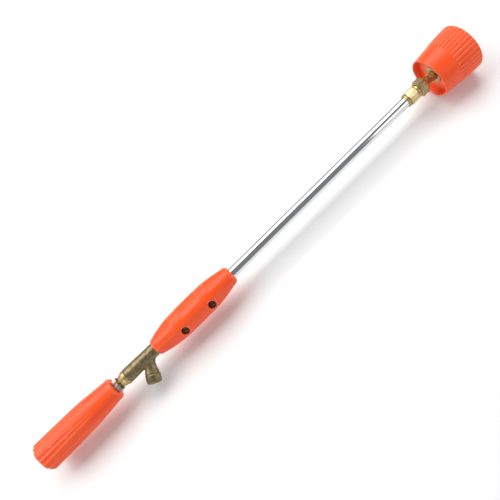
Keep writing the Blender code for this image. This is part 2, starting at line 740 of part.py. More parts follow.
def make_grip_fasteners(place_name, band, grip_axis, material):
    """One screw and nut that clamp the two halves together beside the tube."""
    head_start = GRIP_HEAD_SEAT + GAP
    head_end = head_start + GRIP_HEAD_HEIGHT
    shank_end = -GRIP_NUT_SEAT - GRIP_NUT_THICKNESS - 0.0009
    outline = [(shank_end, GRIP_SCREW_RADIUS), (head_start, GRIP_SCREW_RADIUS),
               (head_start, GRIP_HEAD_RADIUS), (head_start + 0.0012, GRIP_HEAD_RADIUS),
               (head_start + 0.0022, 0.0030), (head_end, 0.0018)]
    screw = turned_solid(f"grip_screw_{place_name}", outline, material, grip_axis)
    nut_start = -GRIP_NUT_SEAT - GAP - GRIP_NUT_THICKNESS
    nut_end = -GRIP_NUT_SEAT - GAP
    nut = turned(f"grip_nut_{place_name}",
                 hex_blank(nut_start, nut_end, GRIP_NUT_ACROSS_FLATS - GAP, chamfer=0.0005),
                 plain_bore(nut_start, nut_end, GRIP_SCREW_RADIUS + GAP), material, grip_axis)
    mesh = prism_mesh(nut.name + "_hexagon", 6, GRIP_NUT_ACROSS_FLATS - GAP, -0.02, 0.0, math.pi / 2)
    hexagon = place_cutter(mesh.name, mesh, grip_axis)
    for shape in (screw, nut, hexagon):
        set_across_grip(shape, band)
    combine(nut, hexagon, "INTERSECT")
    return [screw, nut]


# ---------------------------------------------------------------- tube and nozzle

def make_tube(axis, material):
    """The chromed lance tube."""
    return turned("lance_tube", ring_outline(TUBE_REAR, TUBE_FRONT, TUBE_RADIUS),
                  plain_bore(TUBE_REAR, TUBE_FRONT, TUBE_BORE), material, axis)


def make_tube_end(axis, brass, copper):
    """The collar, the hexagonal adapter screwed on the tube and its sealing washer."""
    bore = TUBE_RADIUS + GAP
    collar_front = ADAPTER_REAR - GAP
    collar = turned("tube_collar", ring_outline(COLLAR_REAR, collar_front, COLLAR_RADIUS, edge=0.0004),
                    plain_bore(COLLAR_REAR, collar_front, TUBE_RADIUS + 0.0002), brass, axis)
    outside = hex_blank(ADAPTER_REAR, ADAPTER_FRONT, ADAPTER_ACROSS_FLATS)
    outside += [(ADAPTER_FRONT, ADAPTER_SPIGOT_RADIUS), (ADAPTER_SPIGOT_FRONT, ADAPTER_SPIGOT_RADIUS)]
    socket_floor = TUBE_FRONT + GAP
    inside = [(ADAPTER_REAR, bore), (socket_floor, bore), (socket_floor, ADAPTER_SPIGOT_BORE),
              (ADAPTER_SPIGOT_FRONT, ADAPTER_SPIGOT_BORE)]
    adapter = turned("tube_adapter", outside, inside, brass, axis)
    trim_to_hexagon(adapter, ADAPTER_ACROSS_FLATS, ADAPTER_REAR - 0.01, ADAPTER_SPIGOT_FRONT + 0.01,
                    facing_corner(math.radians(8)))
    start, end = ADAPTER_FRONT + GAP, NOZZLE_HEX_REAR - GAP
    washer = turned("adapter_washer", ring_outline(start, end, ADAPTER_WASHER_RADIUS, edge=0.0003),
                    plain_bore(start, end, ADAPTER_SPIGOT_RADIUS + GAP), copper, axis)
    return [collar, adapter, washer]


def make_nozzle_body(axis, material):
    """The larger hexagon and the hollow neck that runs through the bell."""
    outside = hex_blank(NOZZLE_HEX_REAR, NOZZLE_HEX_FRONT, NOZZLE_ACROSS_FLATS, chamfer=0.0012)
    outside += [(NOZZLE_HEX_FRONT, NECK_RADIUS), (NECK_FRONT, NECK_RADIUS)]
    socket = ADAPTER_SPIGOT_RADIUS + GAP
    socket_floor = ADAPTER_SPIGOT_FRONT + GAP
    inside = [(NOZZLE_HEX_REAR, socket), (socket_floor, socket), (socket_floor, NECK_BORE),
              (NECK_FRONT, NECK_BORE)]
    body = turned("nozzle_body", outside, inside, material, axis)
    trim_to_hexagon(body, NOZZLE_ACROSS_FLATS, NOZZLE_HEX_REAR - 0.01, NECK_FRONT + 0.01,
                    facing_flat(math.radians(4)))
    return body


def make_bell_fasteners(axis, brass):
    """The small nut and wide washer that hold the bell on the neck."""
    bore = NECK_RADIUS + GAP
    end = BELL_NUT_REAR + BELL_NUT_THICKNESS
    nut = turned("bell_lock_nut", hex_blank(BELL_NUT_REAR, end, BELL_NUT_ACROSS_FLATS),
                 plain_bore(BELL_NUT_REAR, end, bore), brass, axis)
    trim_to_hexagon(nut, BELL_NUT_ACROSS_FLATS, BELL_NUT_REAR - 0.01, end + 0.01,
                    facing_corner(math.radians(2)))
    washer_front = BELL_WEB_REAR - GAP
    washer = turned("bell_washer", ring_outline(BELL_WASHER_REAR, washer_front, BELL_WASHER_RADIUS),
                    plain_bore(BELL_WASHER_REAR, washer_front, bore), brass, axis)
    return [nut, washer]


def make_nozzle_tip(axis, brass, steel, rubber):
    """The cap on the neck's end, and the seal and orifice disc that it clamps."""
    bore = NECK_RADIUS + GAP
    disc_front = DISC_REAR + DISC_THICKNESS
    outside = hex_blank(CAP_REAR, CAP_HEX_FRONT, CAP_ACROSS_FLATS)
    edge = 0.0010
    outside += [(CAP_HEX_FRONT, CAP_NOSE_RADIUS), (CAP_FRONT - edge, CAP_NOSE_RADIUS),
                (CAP_FRONT, CAP_NOSE_RADIUS - edge)]
    inside = [(CAP_REAR, bore), (disc_front + GAP, bore), (disc_front + GAP, 0.0018), (CAP_FRONT, 0.0030)]
    cap = turned("nozzle_cap", outside, inside, brass, axis)
    trim_to_hexagon(cap, CAP_ACROSS_FLATS, CAP_REAR - 0.01, CAP_FRONT + 0.01, facing_corner(0.0))
    seal_radius, seal_thickness = 0.0034, 0.0006
    seal_middle = (NECK_FRONT + DISC_REAR) / 2
    circle = [(seal_middle - seal_thickness * math.cos(math.tau * k / 8),
               seal_radius + seal_thickness * math.sin(math.tau * k / 8)) for k in range(8)]
    seal = turned("nozzle_seal", circle, [], rubber, axis)
    disc = turned("orifice_disc", ring_outline(DISC_REAR, disc_front, NECK_RADIUS),
                  plain_bore(DISC_REAR, disc_front, ORIFICE_RADIUS), steel, axis)
    return [cap, seal, disc]


# ---------------------------------------------------------------- bell

def bell_radius(station):
    """The bell's outer radius, with rounded rims."""
    curve = [(BELL_REAR, BELL_REAR_RADIUS), (BELL_WEB_FRONT, 0.0245), (BELL_FLUTES_REAR, BELL_STEP_RADIUS),
             (BELL_SWELL, 0.0265), (LENGTH, BELL_FRONT_RADIUS)]
    return (smooth_between(curve, station) - end_rounding(station - BELL_REAR, BELL_REAR_FILLET)
            - end_rounding(LENGTH - station, BELL_FRONT_FILLET))


def bell_point(station, index):
    """Three points for each flute, two on its crest and one on its root."""
    angle = math.tau * index / (3 * FLUTE_COUNT)
    fluted = BELL_FLUTES_REAR < station < LENGTH - 0.9 * BELL_FRONT_FILLET
    groove = FLUTE_DEPTH if fluted and index % 3 == 2 else 0.0
    return angle, bell_radius(station) - groove


def make_bell(axis, material):
    """The fluted bell, open at both ends, with one web that the neck goes through."""
    stations = [BELL_REAR, BELL_REAR + BELL_REAR_FILLET, BELL_WEB_FRONT, BELL_FLUTES_REAR,
                BELL_FLUTES_REAR + 0.0006, BELL_SWELL]
    stations += reversed(fillet_stations(LENGTH, BELL_FRONT_FILLET, -1))
    bell = place("bell", lofted_mesh("bell", stations, 3 * FLUTE_COUNT, bell_point), parts, axis, material)
    hole = NECK_RADIUS + GAP
    rear_room = BELL_REAR_RADIUS - 0.8 * BELL_WALL
    front_room = BELL_STEP_RADIUS - BELL_WALL - FLUTE_DEPTH
    mouth = BELL_FRONT_RADIUS - 1.5 * BELL_WALL
    hollow = [(BELL_REAR - 0.01, rear_room), (BELL_REAR, rear_room), (BELL_WEB_REAR, rear_room + 0.0006),
              (BELL_WEB_REAR, hole), (BELL_WEB_FRONT, hole), (BELL_WEB_FRONT, front_room - 0.0002),
              (BELL_FLUTES_REAR, front_room), (LENGTH, mouth), (LENGTH + 0.01, mouth)]
    combine(bell, turned_cutter("bell_hollow", hollow, axis, steps=WIDE_STEPS), "DIFFERENCE")
    return bell


# ---------------------------------------------------------------- assembly

clear_scene()
parts = make_collection("spray_lance")
cutters = make_collection("cutters")

orange = make_material("orange_plastic", ORANGE, 0.32, 0.0)
forged_brass = make_material("forged_brass", FORGED_BRASS, 0.42, 1.0)
turned_brass = make_material("turned_brass", TURNED_BRASS, 0.28, 1.0)
gold_brass = make_material("spindle_brass", GOLD_BRASS, 0.30, 1.0)
copper = make_material("copper_washer", COPPER, 0.35, 1.0)
chrome = make_material("chromed_tube", CHROME, 0.12, 1.0)
steel = make_material("zinc_steel", STEEL, 0.38, 1.0)
nickel = make_material("dark_nickel", NICKEL, 0.25, 1.0)
packing = make_material("white_packing", PACKING_WHITE, 0.60, 0.0)
rubber = make_material("black_rubber", RUBBER_BLACK, 0.55, 0.0)

lance_axis = make_empty("lance_axis", parts)
lance_axis.rotation_mode = "ZYX"
lance_axis.rotation_euler = (0.0, math.pi / 2, BRANCH_DROP - math.pi / 2)
lance_axis.location = (-LENGTH / 2, 0.0, AXIS_HEIGHT)

slide_axis = make_empty("slide_axis", parts, lance_axis)
turn_axis = make_empty("turn_axis", parts, slide_axis)

branch_axis = make_empty("branch_axis", parts, lance_axis)
branch_axis.location = (0.0, 0.0, BRANCH_STATION)
branch_axis.rotation_euler = (0.0, math.pi - BRANCH_ANGLE, 0.0)

grip_axis = make_empty("grip_axis", parts, lance_axis)
grip_axis.rotation_euler = (0.0, 0.0, GRIP_ROLL)

bpy.context.view_layer.update()

pieces = [make_handle(turn_axis, orange), make_handle_end_cap(turn_axis, orange)]
pieces += make_handle_fasteners(turn_axis, steel, nickel)
pieces += [make_spindle(turn_axis, gold_brass), make_rod_retainer(turn_axis, gold_brass)]
pieces += [make_control_rod(slide_axis, steel), make_swirl_core(slide_axis, turned_brass)]
pieces += make_gland(lance_axis, turned_brass, packing)
pieces += [make_valve_body(lance_axis, branch_axis, forged_brass)]
pieces += [make_grip_half("grip_half_near", -1, cut_nut_room, grip_axis, orange)]
pieces += [make_grip_half("grip_half_far", 1, cut_head_room, grip_axis, orange)]
for place_name, band in zip(("rear", "front"), GRIP_BANDS):
    pieces += make_grip_fasteners(place_name, band, grip_axis, nickel)
pieces += [make_tube(lance_axis, chrome)]
pieces += make_tube_end(lance_axis, turned_brass, copper)
pieces += [make_nozzle_body(lance_axis, turned_brass)]
pieces += make_bell_fasteners(lance_axis, turned_brass)
pieces += make_nozzle_tip(lance_axis, turned_brass, steel, rubber)
pieces += [make_bell(lance_axis, orange)]

bpy.context.view_layer.update()
for piece in pieces:
    apply_modifiers(piece)
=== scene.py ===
"""Looks of the orchard spray lance: fine meshes, materials, light and camera.

Lance space has Z running forward along the lance from the handle's rear face, +X toward the side
that the hose branch is on, and -Y toward the side with the grip's nut pockets, which the camera sees.
"""

import json
import math

import bmesh
import bpy
from mathutils import Matrix, Vector


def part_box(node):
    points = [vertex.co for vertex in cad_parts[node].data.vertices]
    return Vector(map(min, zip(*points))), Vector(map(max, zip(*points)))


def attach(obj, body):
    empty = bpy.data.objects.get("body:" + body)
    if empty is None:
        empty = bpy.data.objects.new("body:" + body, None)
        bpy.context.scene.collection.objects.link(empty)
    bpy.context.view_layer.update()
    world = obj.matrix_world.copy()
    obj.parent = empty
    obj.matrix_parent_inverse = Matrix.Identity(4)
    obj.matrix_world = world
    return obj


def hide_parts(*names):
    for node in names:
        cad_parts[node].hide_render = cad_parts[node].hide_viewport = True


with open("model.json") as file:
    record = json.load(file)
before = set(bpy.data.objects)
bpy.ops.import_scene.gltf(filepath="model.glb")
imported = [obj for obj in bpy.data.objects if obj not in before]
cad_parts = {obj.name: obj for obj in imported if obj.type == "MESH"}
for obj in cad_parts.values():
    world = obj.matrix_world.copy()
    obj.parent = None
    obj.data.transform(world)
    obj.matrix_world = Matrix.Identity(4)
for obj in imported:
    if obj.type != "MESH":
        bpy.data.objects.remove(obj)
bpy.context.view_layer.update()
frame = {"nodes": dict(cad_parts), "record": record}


def span(node):
    """Where a CAD node starts and ends along the lance, from the handle's rear face."""
    low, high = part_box(node)
    return low.x - REAR_X, high.x - REAR_X


# ---------------------------------------------------------------- sizes, in metres

BRANCH_DROP = math.radians(27)
REAR_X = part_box("handle")[0].x
AXIS_Z = (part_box("lance_tube")[0].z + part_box("lance_tube")[1].z) / 2
LENGTH = span("bell")[1]
GAP = 0.0003

HANDLE_START, HANDLE_END = span("handle")
HANDLE_END_FILLET = 0.0028
GROOVE_REACH = 0.0740
GROOVE_DEPTH = 0.0011
GROOVE_PAIRS = 6
GROOVE_SPACING = math.radians(9.5)
RECESS_RADIUS = 0.0110
RECESS_FLOOR = 0.0160
RECESS_CHAMFER = 0.0006

SPINDLE_RADIUS = 0.0050
THREAD_PITCH = 0.0020
THREAD_STARTS = 2
THREAD_DEPTH = 0.0009
SLIDE_ROOM = 0.0100         # how much of the thread comes out of the gland, with some to spare
SPINDLE_SOCKET_RADIUS = 0.0037
SPINDLE_SOCKET_DEPTH = 0.0110

LOCK_NUT_ACROSS_FLATS = 0.0140
GLAND_RADIUS = 0.0082
GLAND_CHAMFER_LENGTH = 0.0054
BODY_REAR, BODY_FRONT = span("valve_body")
BODY_REAR_RADIUS = 0.0083
BODY_RADIUS = 0.0074
BRANCH_STATION = 0.1512
BRANCH_ANGLE = math.radians(60.5)
BRANCH_LENGTH = 0.0288
BRANCH_ROOT_RADIUS = 0.0061
BRANCH_ROOT_LENGTH = 0.0100
BRANCH_SHOULDER_RADIUS = 0.0076
BRANCH_COLLAR_RADIUS = 0.0081
BRANCH_COLLAR_LENGTH = 0.0098
INLET_RADIUS = 0.0059
INLET_DEPTH = 0.0100
INLET_THREAD_PITCH = 0.00134
INLET_THREAD_DEPTH = 0.0006
CHANNEL_RADIUS = 0.0035
CROTCH_FILLET = 0.0050
FORGING_VOXEL = 0.0004

GRIP_START, GRIP_END = span("grip_half_near")
GRIP_LENGTH = GRIP_END - GRIP_START
GRIP_RADIUS = 0.0152
GRIP_REAR_FILLET = 0.0007
GRIP_FRONT_FILLET = 0.0030
GRIP_ROLL = math.radians(2)
GRIP_BANDS = (0.1996, 0.2378)
BAND_HALF_WIDTH = 0.0060
SCOOP_DEPTH = 0.0014
SCOOP_HALF_ANGLE = math.radians(31)
SCOOP_COUNT = 4
GRIP_SCREW_OFFSET = 0.0084
GRIP_NUT_ACROSS_FLATS = 0.0067
GRIP_NUT_THICKNESS = 0.0032
GRIP_POCKET_RADIUS = 0.0043
GRIP_SCREW_RADIUS = 0.0020
GRIP_HEAD_RADIUS = 0.0038
GRIP_HEAD_HEIGHT = 0.0028
GRIP_HEAD_ROOM_RADIUS = 0.0041
GRIP_NUT_SEAT = 0.0052
GRIP_HEAD_SEAT = 0.0062

TUBE_RADIUS = 0.0060
TUBE_BORE = 0.0045
COLLAR_RADIUS = 0.0070
ADAPTER_ACROSS_FLATS = 0.0145
ADAPTER_WASHER_RADIUS = 0.0073
SPIGOT_RADIUS = 0.0047
SPIGOT_BORE = 0.0035
NOZZLE_HEX_FRONT = 0.5556
NOZZLE_ACROSS_FLATS = 0.0165
NECK_RADIUS = 0.0040
NECK_BORE = 0.0028
BELL_NUT_ACROSS_FLATS = 0.0104
BELL_WASHER_RADIUS = 0.0096
CAP_HEX_FRONT = 0.5815
CAP_ACROSS_FLATS = 0.0140
CAP_NOSE_RADIUS = 0.0062

BELL_REAR = span("bell")[0]
BELL_WEB_REAR = span("bell_washer")[1] + GAP
BELL_WEB_FRONT = BELL_WEB_REAR + 0.0030
BELL_FLUTES_REAR = 0.5839
BELL_SWELL = 0.5980         # where the bell has nearly reached its full width
BELL_REAR_RADIUS = 0.02358
BELL_STEP_RADIUS = 0.0255
BELL_FRONT_RADIUS = 0.02686
BELL_REAR_FILLET = 0.0007
BELL_FRONT_FILLET = 0.0020
BELL_REAR_HOLLOW = 0.0220
BELL_FRONT_HOLLOW = 0.0225
BELL_RIM_HOLLOW = 0.0240
FLUTE_COUNT = 36
FLUTE_DEPTH = 0.0009
CUT_OVERRUN = 0.03          # how far a cutting tool reaches past what it cuts
FLATS_REAR_OVERRUN = 0.01   # the same behind a hexagon's rear face

UNROLLED = Matrix.Translation((REAR_X, 0.0, AXIS_Z)) @ Matrix.Rotation(math.pi / 2, 4, "Y")
LANCE = UNROLLED @ Matrix.Rotation(BRANCH_DROP - math.pi / 2, 4, "Z")
GRIP = LANCE @ Matrix.Rotation(GRIP_ROLL, 4, "Z")
BRANCH = (LANCE @ Matrix.Translation((0.0, 0.0, BRANCH_STATION))
          @ Matrix.Rotation(math.pi - BRANCH_ANGLE, 4, "Y"))


# ---------------------------------------------------------------- mesh helpers

def mesh_object(name, mesh, matrix):
    """Add a mesh to the scene in the space that the matrix gives."""
    obj = bpy.data.objects.new(name, mesh)
    bpy.context.scene.collection.objects.link(obj)
    obj.matrix_world = matrix
    return obj


def skin_mesh(name, rings, loop=False):
    """A surface through rings of points; a loop joins the last ring to the first."""
    mesh = bpy.data.meshes.new(name)
    shape = bmesh.new()
    rows = [[shape.verts.new(point) for point in ring] for ring in rings]
    pairs = list(zip(rows, rows[1:]))
    if loop:
        pairs.append((rows[-1], rows[0]))
    count = len(rows[0])
    for row, following in pairs:
        for i in range(count):
            j = (i + 1) % count
            shape.faces.new((row[i], row[j], following[j], following[i]))
    if not loop:
        shape.faces.new(list(reversed(rows[0])))
        shape.faces.new(rows[-1])
    shape.to_mesh(mesh)
    shape.free()
    return mesh


def circle(station, radius, count):
    """A ring of points round the axis."""
    return [(radius * math.cos(math.tau * i / count), radius * math.sin(math.tau * i / count), station)
            for i in range(count)]


def softened(outline, width, closed):
    """The outline with each corner turned into a small curve of four points."""
    points = [Vector(point) for point in outline]
    count = len(points)
    result = []
    for i, corner in enumerate(points):
        if not closed and i in (0, count - 1):
            result.append(corner)
            continue
        before = points[i - 1] - corner
        after = points[(i + 1) % count] - corner
        reach = min(width, before.length * 0.45, after.length * 0.45)
        start = corner + before.normalized() * reach
        end = corner + after.normalized() * reach
        for step in range(4):
            t = step / 3
            result.append(start * (1 - t)**2 + corner * 2 * t * (1 - t) + end * t**2)
    return [tuple(point) for point in result]


def turned(name, outside, bore, matrix, edge=0.0002, steps=96):
    """A turned piece with softened edges; a bore of None leaves it solid."""
    if bore is None:
        outline = softened(outside, edge, closed=False)
    else:
        outline = softened(list(outside) + list(reversed(bore)), edge, closed=True)
    rings = [circle(station, radius, steps) for station, radius in outline]
    return mesh_object(name, skin_mesh(name, rings, loop=bore is not None), matrix)


def solid(outside):
    """Bring both ends of an outside outline almost onto the axis."""
    centre = 0.0001
    return [(outside[0][0], centre)] + list(outside) + [(outside[-1][0], centre)]


def smooth(obj, degrees=35):
    """Shade round faces smooth and keep real edges sharp."""
    obj.data.shade_smooth()
    obj.data.set_sharp_from_angle(angle=math.radians(degrees))
    return obj


def bake_modifiers(obj):
    """Make the modified shape the object's own mesh."""
    bpy.context.view_layer.update()
    graph = bpy.context.evaluated_depsgraph_get()
    mesh = bpy.data.meshes.new_from_object(obj.evaluated_get(graph))
    obj.modifiers.clear()
    obj.data = mesh
    return obj


def combine(obj, tool, operation):
    """Cut, join or trim an object with a tool, which is then removed."""
    boolean = obj.modifiers.new("combine", "BOOLEAN")
    boolean.operation = operation
    boolean.solver = "EXACT"
    boolean.object = tool
    bake_modifiers(obj)
    bpy.data.objects.remove(tool, do_unlink=True)
    return obj


def bevel_edges(obj, width, degrees=28, segments=3):
    """Round the edges that are sharper than an angle."""
    bevel = obj.modifiers.new("edges", "BEVEL")
    bevel.width = width
    bevel.segments = segments
    bevel.limit_method = "ANGLE"
    bevel.angle_limit = math.radians(degrees)
    bevel.use_clamp_overlap = True
    return bake_modifiers(obj)


def prism(name, sides, across_flats, start, end, turn, matrix):
    """A regular prism along Z whose first corner is turned from +X."""
    corner_radius = across_flats / 2 / math.cos(math.pi / sides)
    angles = [turn + math.tau * i / sides for i in range(sides)]
    rings = [[(corner_radius * math.cos(a), corner_radius * math.sin(a), z) for a in angles]
             for z in (start, end)]
    return mesh_object(name, skin_mesh(name, rings), matrix)


def hexagonal(name, outside, bore, across_flats, turn, matrix, edge=0.00018):
    """A turned blank trimmed to six flats, with chamfered corners and eased edges."""
    blank = turned(name, outside, bore, matrix, edge=0.0001, steps=120)
    start, end = outside[0][0] - FLATS_REAR_OVERRUN, outside[-1][0] + CUT_OVERRUN
    tool = prism(name + "_flats", 6, across_flats, start, end, turn, matrix)
    combine(blank, tool, "INTERSECT")
    return smooth(bevel_edges(blank, edge), 32)


def hex_blank(start, end, across_flats, chamfer):
    """Outside of a nut before its flats are cut, with cones that chamfer its corners."""
    corner_radius = across_flats / 2 / math.cos(math.pi / 6)
    face_radius = across_flats / 2 * 0.965
    return [(start, face_radius), (start + chamfer, corner_radius * 1.01),
            (end - chamfer, corner_radius * 1.01), (end, face_radius)]


def bore_of(start, end, radius):
    """A straight bore."""
    return [(start, radius), (end, radius)]


def thread_rings(start, end, radius, depth, pitch, starts, count=72, rows_per_pitch=8):
    """Rings that follow a rounded screw thread, whose crests lie on the radius."""
    row_count = max(2, int((end - start) / pitch * rows_per_pitch))
    rings = []
    for row in range(row_count + 1):
        station = start + (end - start) * row / row_count
        ring = []
        for i in range(count):
            angle = math.tau * i / count
            phase = (station / pitch - starts * angle / math.tau) % 1.0
            wave = 0.5 - 0.5 * math.cos(math.tau * phase)
            here = radius - depth * wave**0.8
            ring.append((here * math.cos(angle), here * math.sin(angle), station))
        rings.append(ring)
    return rings


def smooth_between(points, at):
    """Read a smooth curve through (position, value) points."""
    for i in range(len(points) - 1):
        (start, low), (end, high) = points[i], points[i + 1]
        if at <= end or i == len(points) - 2:
            break
    before = points[max(i - 1, 0)]
    after = points[min(i + 2, len(points) - 1)]
    slope_in = (high - before[1]) / (end - before[0])
    slope_out = (after[1] - low) / (after[0] - start)
    width = end - start
    t = min(max((at - start) / width, 0.0), 1.0)
    return ((2 * t**3 - 3 * t**2 + 1) * low + (t**3 - 2 * t**2 + t) * width * slope_in
            + (3 * t**2 - 2 * t**3) * high + (t**3 - t**2) * width * slope_out)


def ease(value):
    """Ease from 0 to 1 between values 0 and 1."""
    value = min(max(value, 0.0), 1.0)
    return value * value * (3 - 2 * value)


def end_rounding(distance, fillet):
    """How far a fillet draws a surface in, at a distance from its end."""
    if distance >= fillet:
        return 0.0
    inside = fillet - max(distance, 0.0)
    return fillet - math.sqrt(max(fillet**2 - inside**2, 0.0))


def stations_between(start, end, fillet_start, fillet_end, spacing):
    """Stations along a piece, closer together where its ends are rounded."""
    steps = 8
    rear = [start + fillet_start * (1 - math.cos(math.pi / 2 * i / steps)) for i in range(steps)]
    front = [end - fillet_end * (1 - math.cos(math.pi / 2 * i / steps)) for i in range(steps)]
    low, high = start + fillet_start, end - fillet_end
    count = int((high - low) / spacing)
    middle = [low + (high - low) * i / count for i in range(count + 1)]
    return rear + middle + list(reversed(front))


# ---------------------------------------------------------------- rear handle

def handle_radius(station):
    """The handle's outer radius between its grooves."""
    curve = [(0.0, 0.0169), (0.035, 0.0165), (0.063, 0.0158), (0.085, 0.0140), (0.0985, 0.0128),
             (HANDLE_END, 0.0126)]
    nearest_end = min(station - HANDLE_START, HANDLE_END - station)
    return smooth_between(curve, station) - end_rounding(nearest_end, HANDLE_END_FILLET)


def handle_ring(station, inward=0.0):
    """The handle's outline at a station, with its six pairs of grooves."""
    fade = max(0.0, 1.0 - station / GROOVE_REACH)
    spread = GROOVE_SPACING * (0.45 + 0.55 * fade)
    pitch = math.tau / GROOVE_PAIRS
    across_points, panel_points = 32, 12
    ring = []
    for pair in range(GROOVE_PAIRS):
        for i in range(across_points + panel_points):
            if i <= across_points:
                across = 4 * i / across_points - 2
                offset = across * spread
                share = 1 - (abs(across) - 1)**2
            else:
                offset = 2 * spread + (pitch - 4 * spread) * (i - across_points) / panel_points
                share = 0.0
            angle = -math.pi / 2 + pair * pitch + offset
            radius = handle_radius(station) - GROOVE_DEPTH * fade**0.6 * share - inward
            ring.append((radius * math.cos(angle), radius * math.sin(angle), station))
    return ring


def plain_ring_like(ring, radius, station):
    """A circle whose points lie at the same angles as another ring's."""
    return [(radius * x / math.hypot(x, y), radius * y / math.hypot(x, y), station) for x, y, _ in ring]


def make_handle():
    """The grooved handle with its rear recess and the bore for the spindle."""
    stations = stations_between(HANDLE_START, HANDLE_END, HANDLE_END_FILLET, HANDLE_END_FILLET, 0.0016)
    outside = [handle_ring(station) for station in stations]
    bore = SPINDLE_RADIUS + GAP
    countersink_radius, countersink_depth = 0.0072, 0.0004
    hollow = [(countersink_radius, HANDLE_END), (bore, HANDLE_END - countersink_depth), (bore, RECESS_FLOOR),
              (RECESS_RADIUS, RECESS_FLOOR), (RECESS_RADIUS, RECESS_CHAMFER),
              (RECESS_RADIUS + RECESS_CHAMFER, HANDLE_START)]
    inside = [plain_ring_like(outside[0], radius, station) for radius, station in hollow]
    mesh = skin_mesh("handle_moulding", outside + inside, loop=True)
    return smooth(mesh_object("handle_moulding", mesh, LANCE))


def make_end_cap():
    """The dished plug in the handle's rear end."""
    start = span("handle_end_cap")[0]
    outline = solid([(start + 0.0009, 0.0020), (start + 0.0008, 0.0065), (start, 0.0088),
                     (start + 0.0001, 0.0100), (start + 0.0007, 0.0106), (start + 0.0040, 0.0107)])
    return smooth(turned("end_cap_plug", outline, None, LANCE, edge=0.0006))


def make_lock_nut():
    """The hexagonal lock nut in front of the handle."""
    start, end = span("handle_lock_nut")
    outside = hex_blank(start, end, LOCK_NUT_ACROSS_FLATS, 0.0009)
    bore = bore_of(start, end, SPINDLE_RADIUS + 0.0002)
    turn = -math.pi / 2 + math.radians(-6)
    return hexagonal("lock_nut", outside, bore, LOCK_NUT_ACROSS_FLATS, turn, LANCE, edge=0.00022)


def make_spindle():
    """The brass spindle, threaded where it shows between the lock nut and the gland."""
    start, end = span("spindle")
    thread_start = span("handle_lock_nut")[0]
    thread_end = span("gland_nut")[0] + SLIDE_ROOM
    count, centre, runout = 72, 0.0001, 0.0004
    rear_chamfer, front_chamfer = 0.0006, 0.0005
    socket_floor = end - SPINDLE_SOCKET_DEPTH
    behind = [(start, centre), (start, SPINDLE_RADIUS - rear_chamfer), (start + rear_chamfer, SPINDLE_RADIUS),
              (thread_start - runout, SPINDLE_RADIUS)]
    ahead = [(thread_end + runout, SPINDLE_RADIUS), (end - front_chamfer, SPINDLE_RADIUS),
             (end, SPINDLE_RADIUS - front_chamfer), (end, SPINDLE_SOCKET_RADIUS),
             (socket_floor, SPINDLE_SOCKET_RADIUS), (socket_floor, centre)]
    rings = [circle(station, radius, count) for station, radius in behind]
    rings += thread_rings(thread_start, thread_end, SPINDLE_RADIUS, THREAD_DEPTH, THREAD_PITCH, THREAD_STARTS)
    rings += [circle(station, radius, count) for station, radius in ahead]
    return smooth(mesh_object("threaded_spindle", skin_mesh("threaded_spindle", rings), LANCE), 60)


# ---------------------------------------------------------------- valve body

def make_gland():
    """The bright gland nut with its chamfered rear edge."""
    start = span("gland_nut")[0]
    front = BODY_REAR - GAP
    land_start = start + GLAND_CHAMFER_LENGTH
    outside = [(start, 0.0060), (start + 0.0003, 0.0062), (land_start, GLAND_RADIUS - 0.0001),
               (land_start + 0.0004, GLAND_RADIUS), (front - 0.0004, GLAND_RADIUS),
               (front, GLAND_RADIUS - 0.0003)]
    return smooth(turned("gland_nut_turned", outside, bore_of(start, front, SPINDLE_RADIUS + GAP), LANCE))


def crotch_web():
    """A web that fills the branch's front corner with a concave fillet."""
    sine, cosine = math.sin(BRANCH_ANGLE), math.cos(BRANCH_ANGLE)
    sunk_radius = BRANCH_ROOT_RADIUS - 0.0001
    run = (BODY_RADIUS - cosine * sunk_radius) / sine
    corner_z = BRANCH_STATION + sine * sunk_radius - cosine * run
    open_angle = math.pi - BRANCH_ANGLE
    centre_x = BODY_RADIUS + CROTCH_FILLET
    centre_z = corner_z + CROTCH_FILLET / math.tan(open_angle / 2)
    points = [(0.0, BRANCH_STATION), (0.0, centre_z)]
    arc_steps = 12
    for step in range(arc_steps + 1):
        angle = math.pi + BRANCH_ANGLE * step / arc_steps
        across = CROTCH_FILLET * math.cos(angle)
        along = CROTCH_FILLET * math.sin(angle)
        points.append((centre_x + across, centre_z + along))
    reach = 1.15 * BRANCH_ROOT_LENGTH
    points.append((sine * reach, BRANCH_STATION - cosine * reach))
    half = 0.0040
    rings = [[(x, y, z) for x, z in points] for y in (half, -half)]
    return mesh_object("crotch_web", skin_mesh("crotch_web", rings), LANCE)


def branch_blank():
    """The plain part of the branch, up to the groove before its collar."""
    end = BRANCH_LENGTH - BRANCH_COLLAR_LENGTH - 0.0006
    flare = BRANCH_SHOULDER_RADIUS - BRANCH_ROOT_RADIUS
    outline = solid([(0.0, BRANCH_ROOT_RADIUS), (BRANCH_ROOT_LENGTH, BRANCH_ROOT_RADIUS),
                     (BRANCH_ROOT_LENGTH + 0.0030, BRANCH_ROOT_RADIUS + 0.2 * flare),
                     (BRANCH_ROOT_LENGTH + 0.0060, BRANCH_ROOT_RADIUS + 0.7 * flare),
                     (end - 0.0008, BRANCH_SHOULDER_RADIUS), (end, BRANCH_SHOULDER_RADIUS)])
    return turned("branch_blank", outline, None, BRANCH)


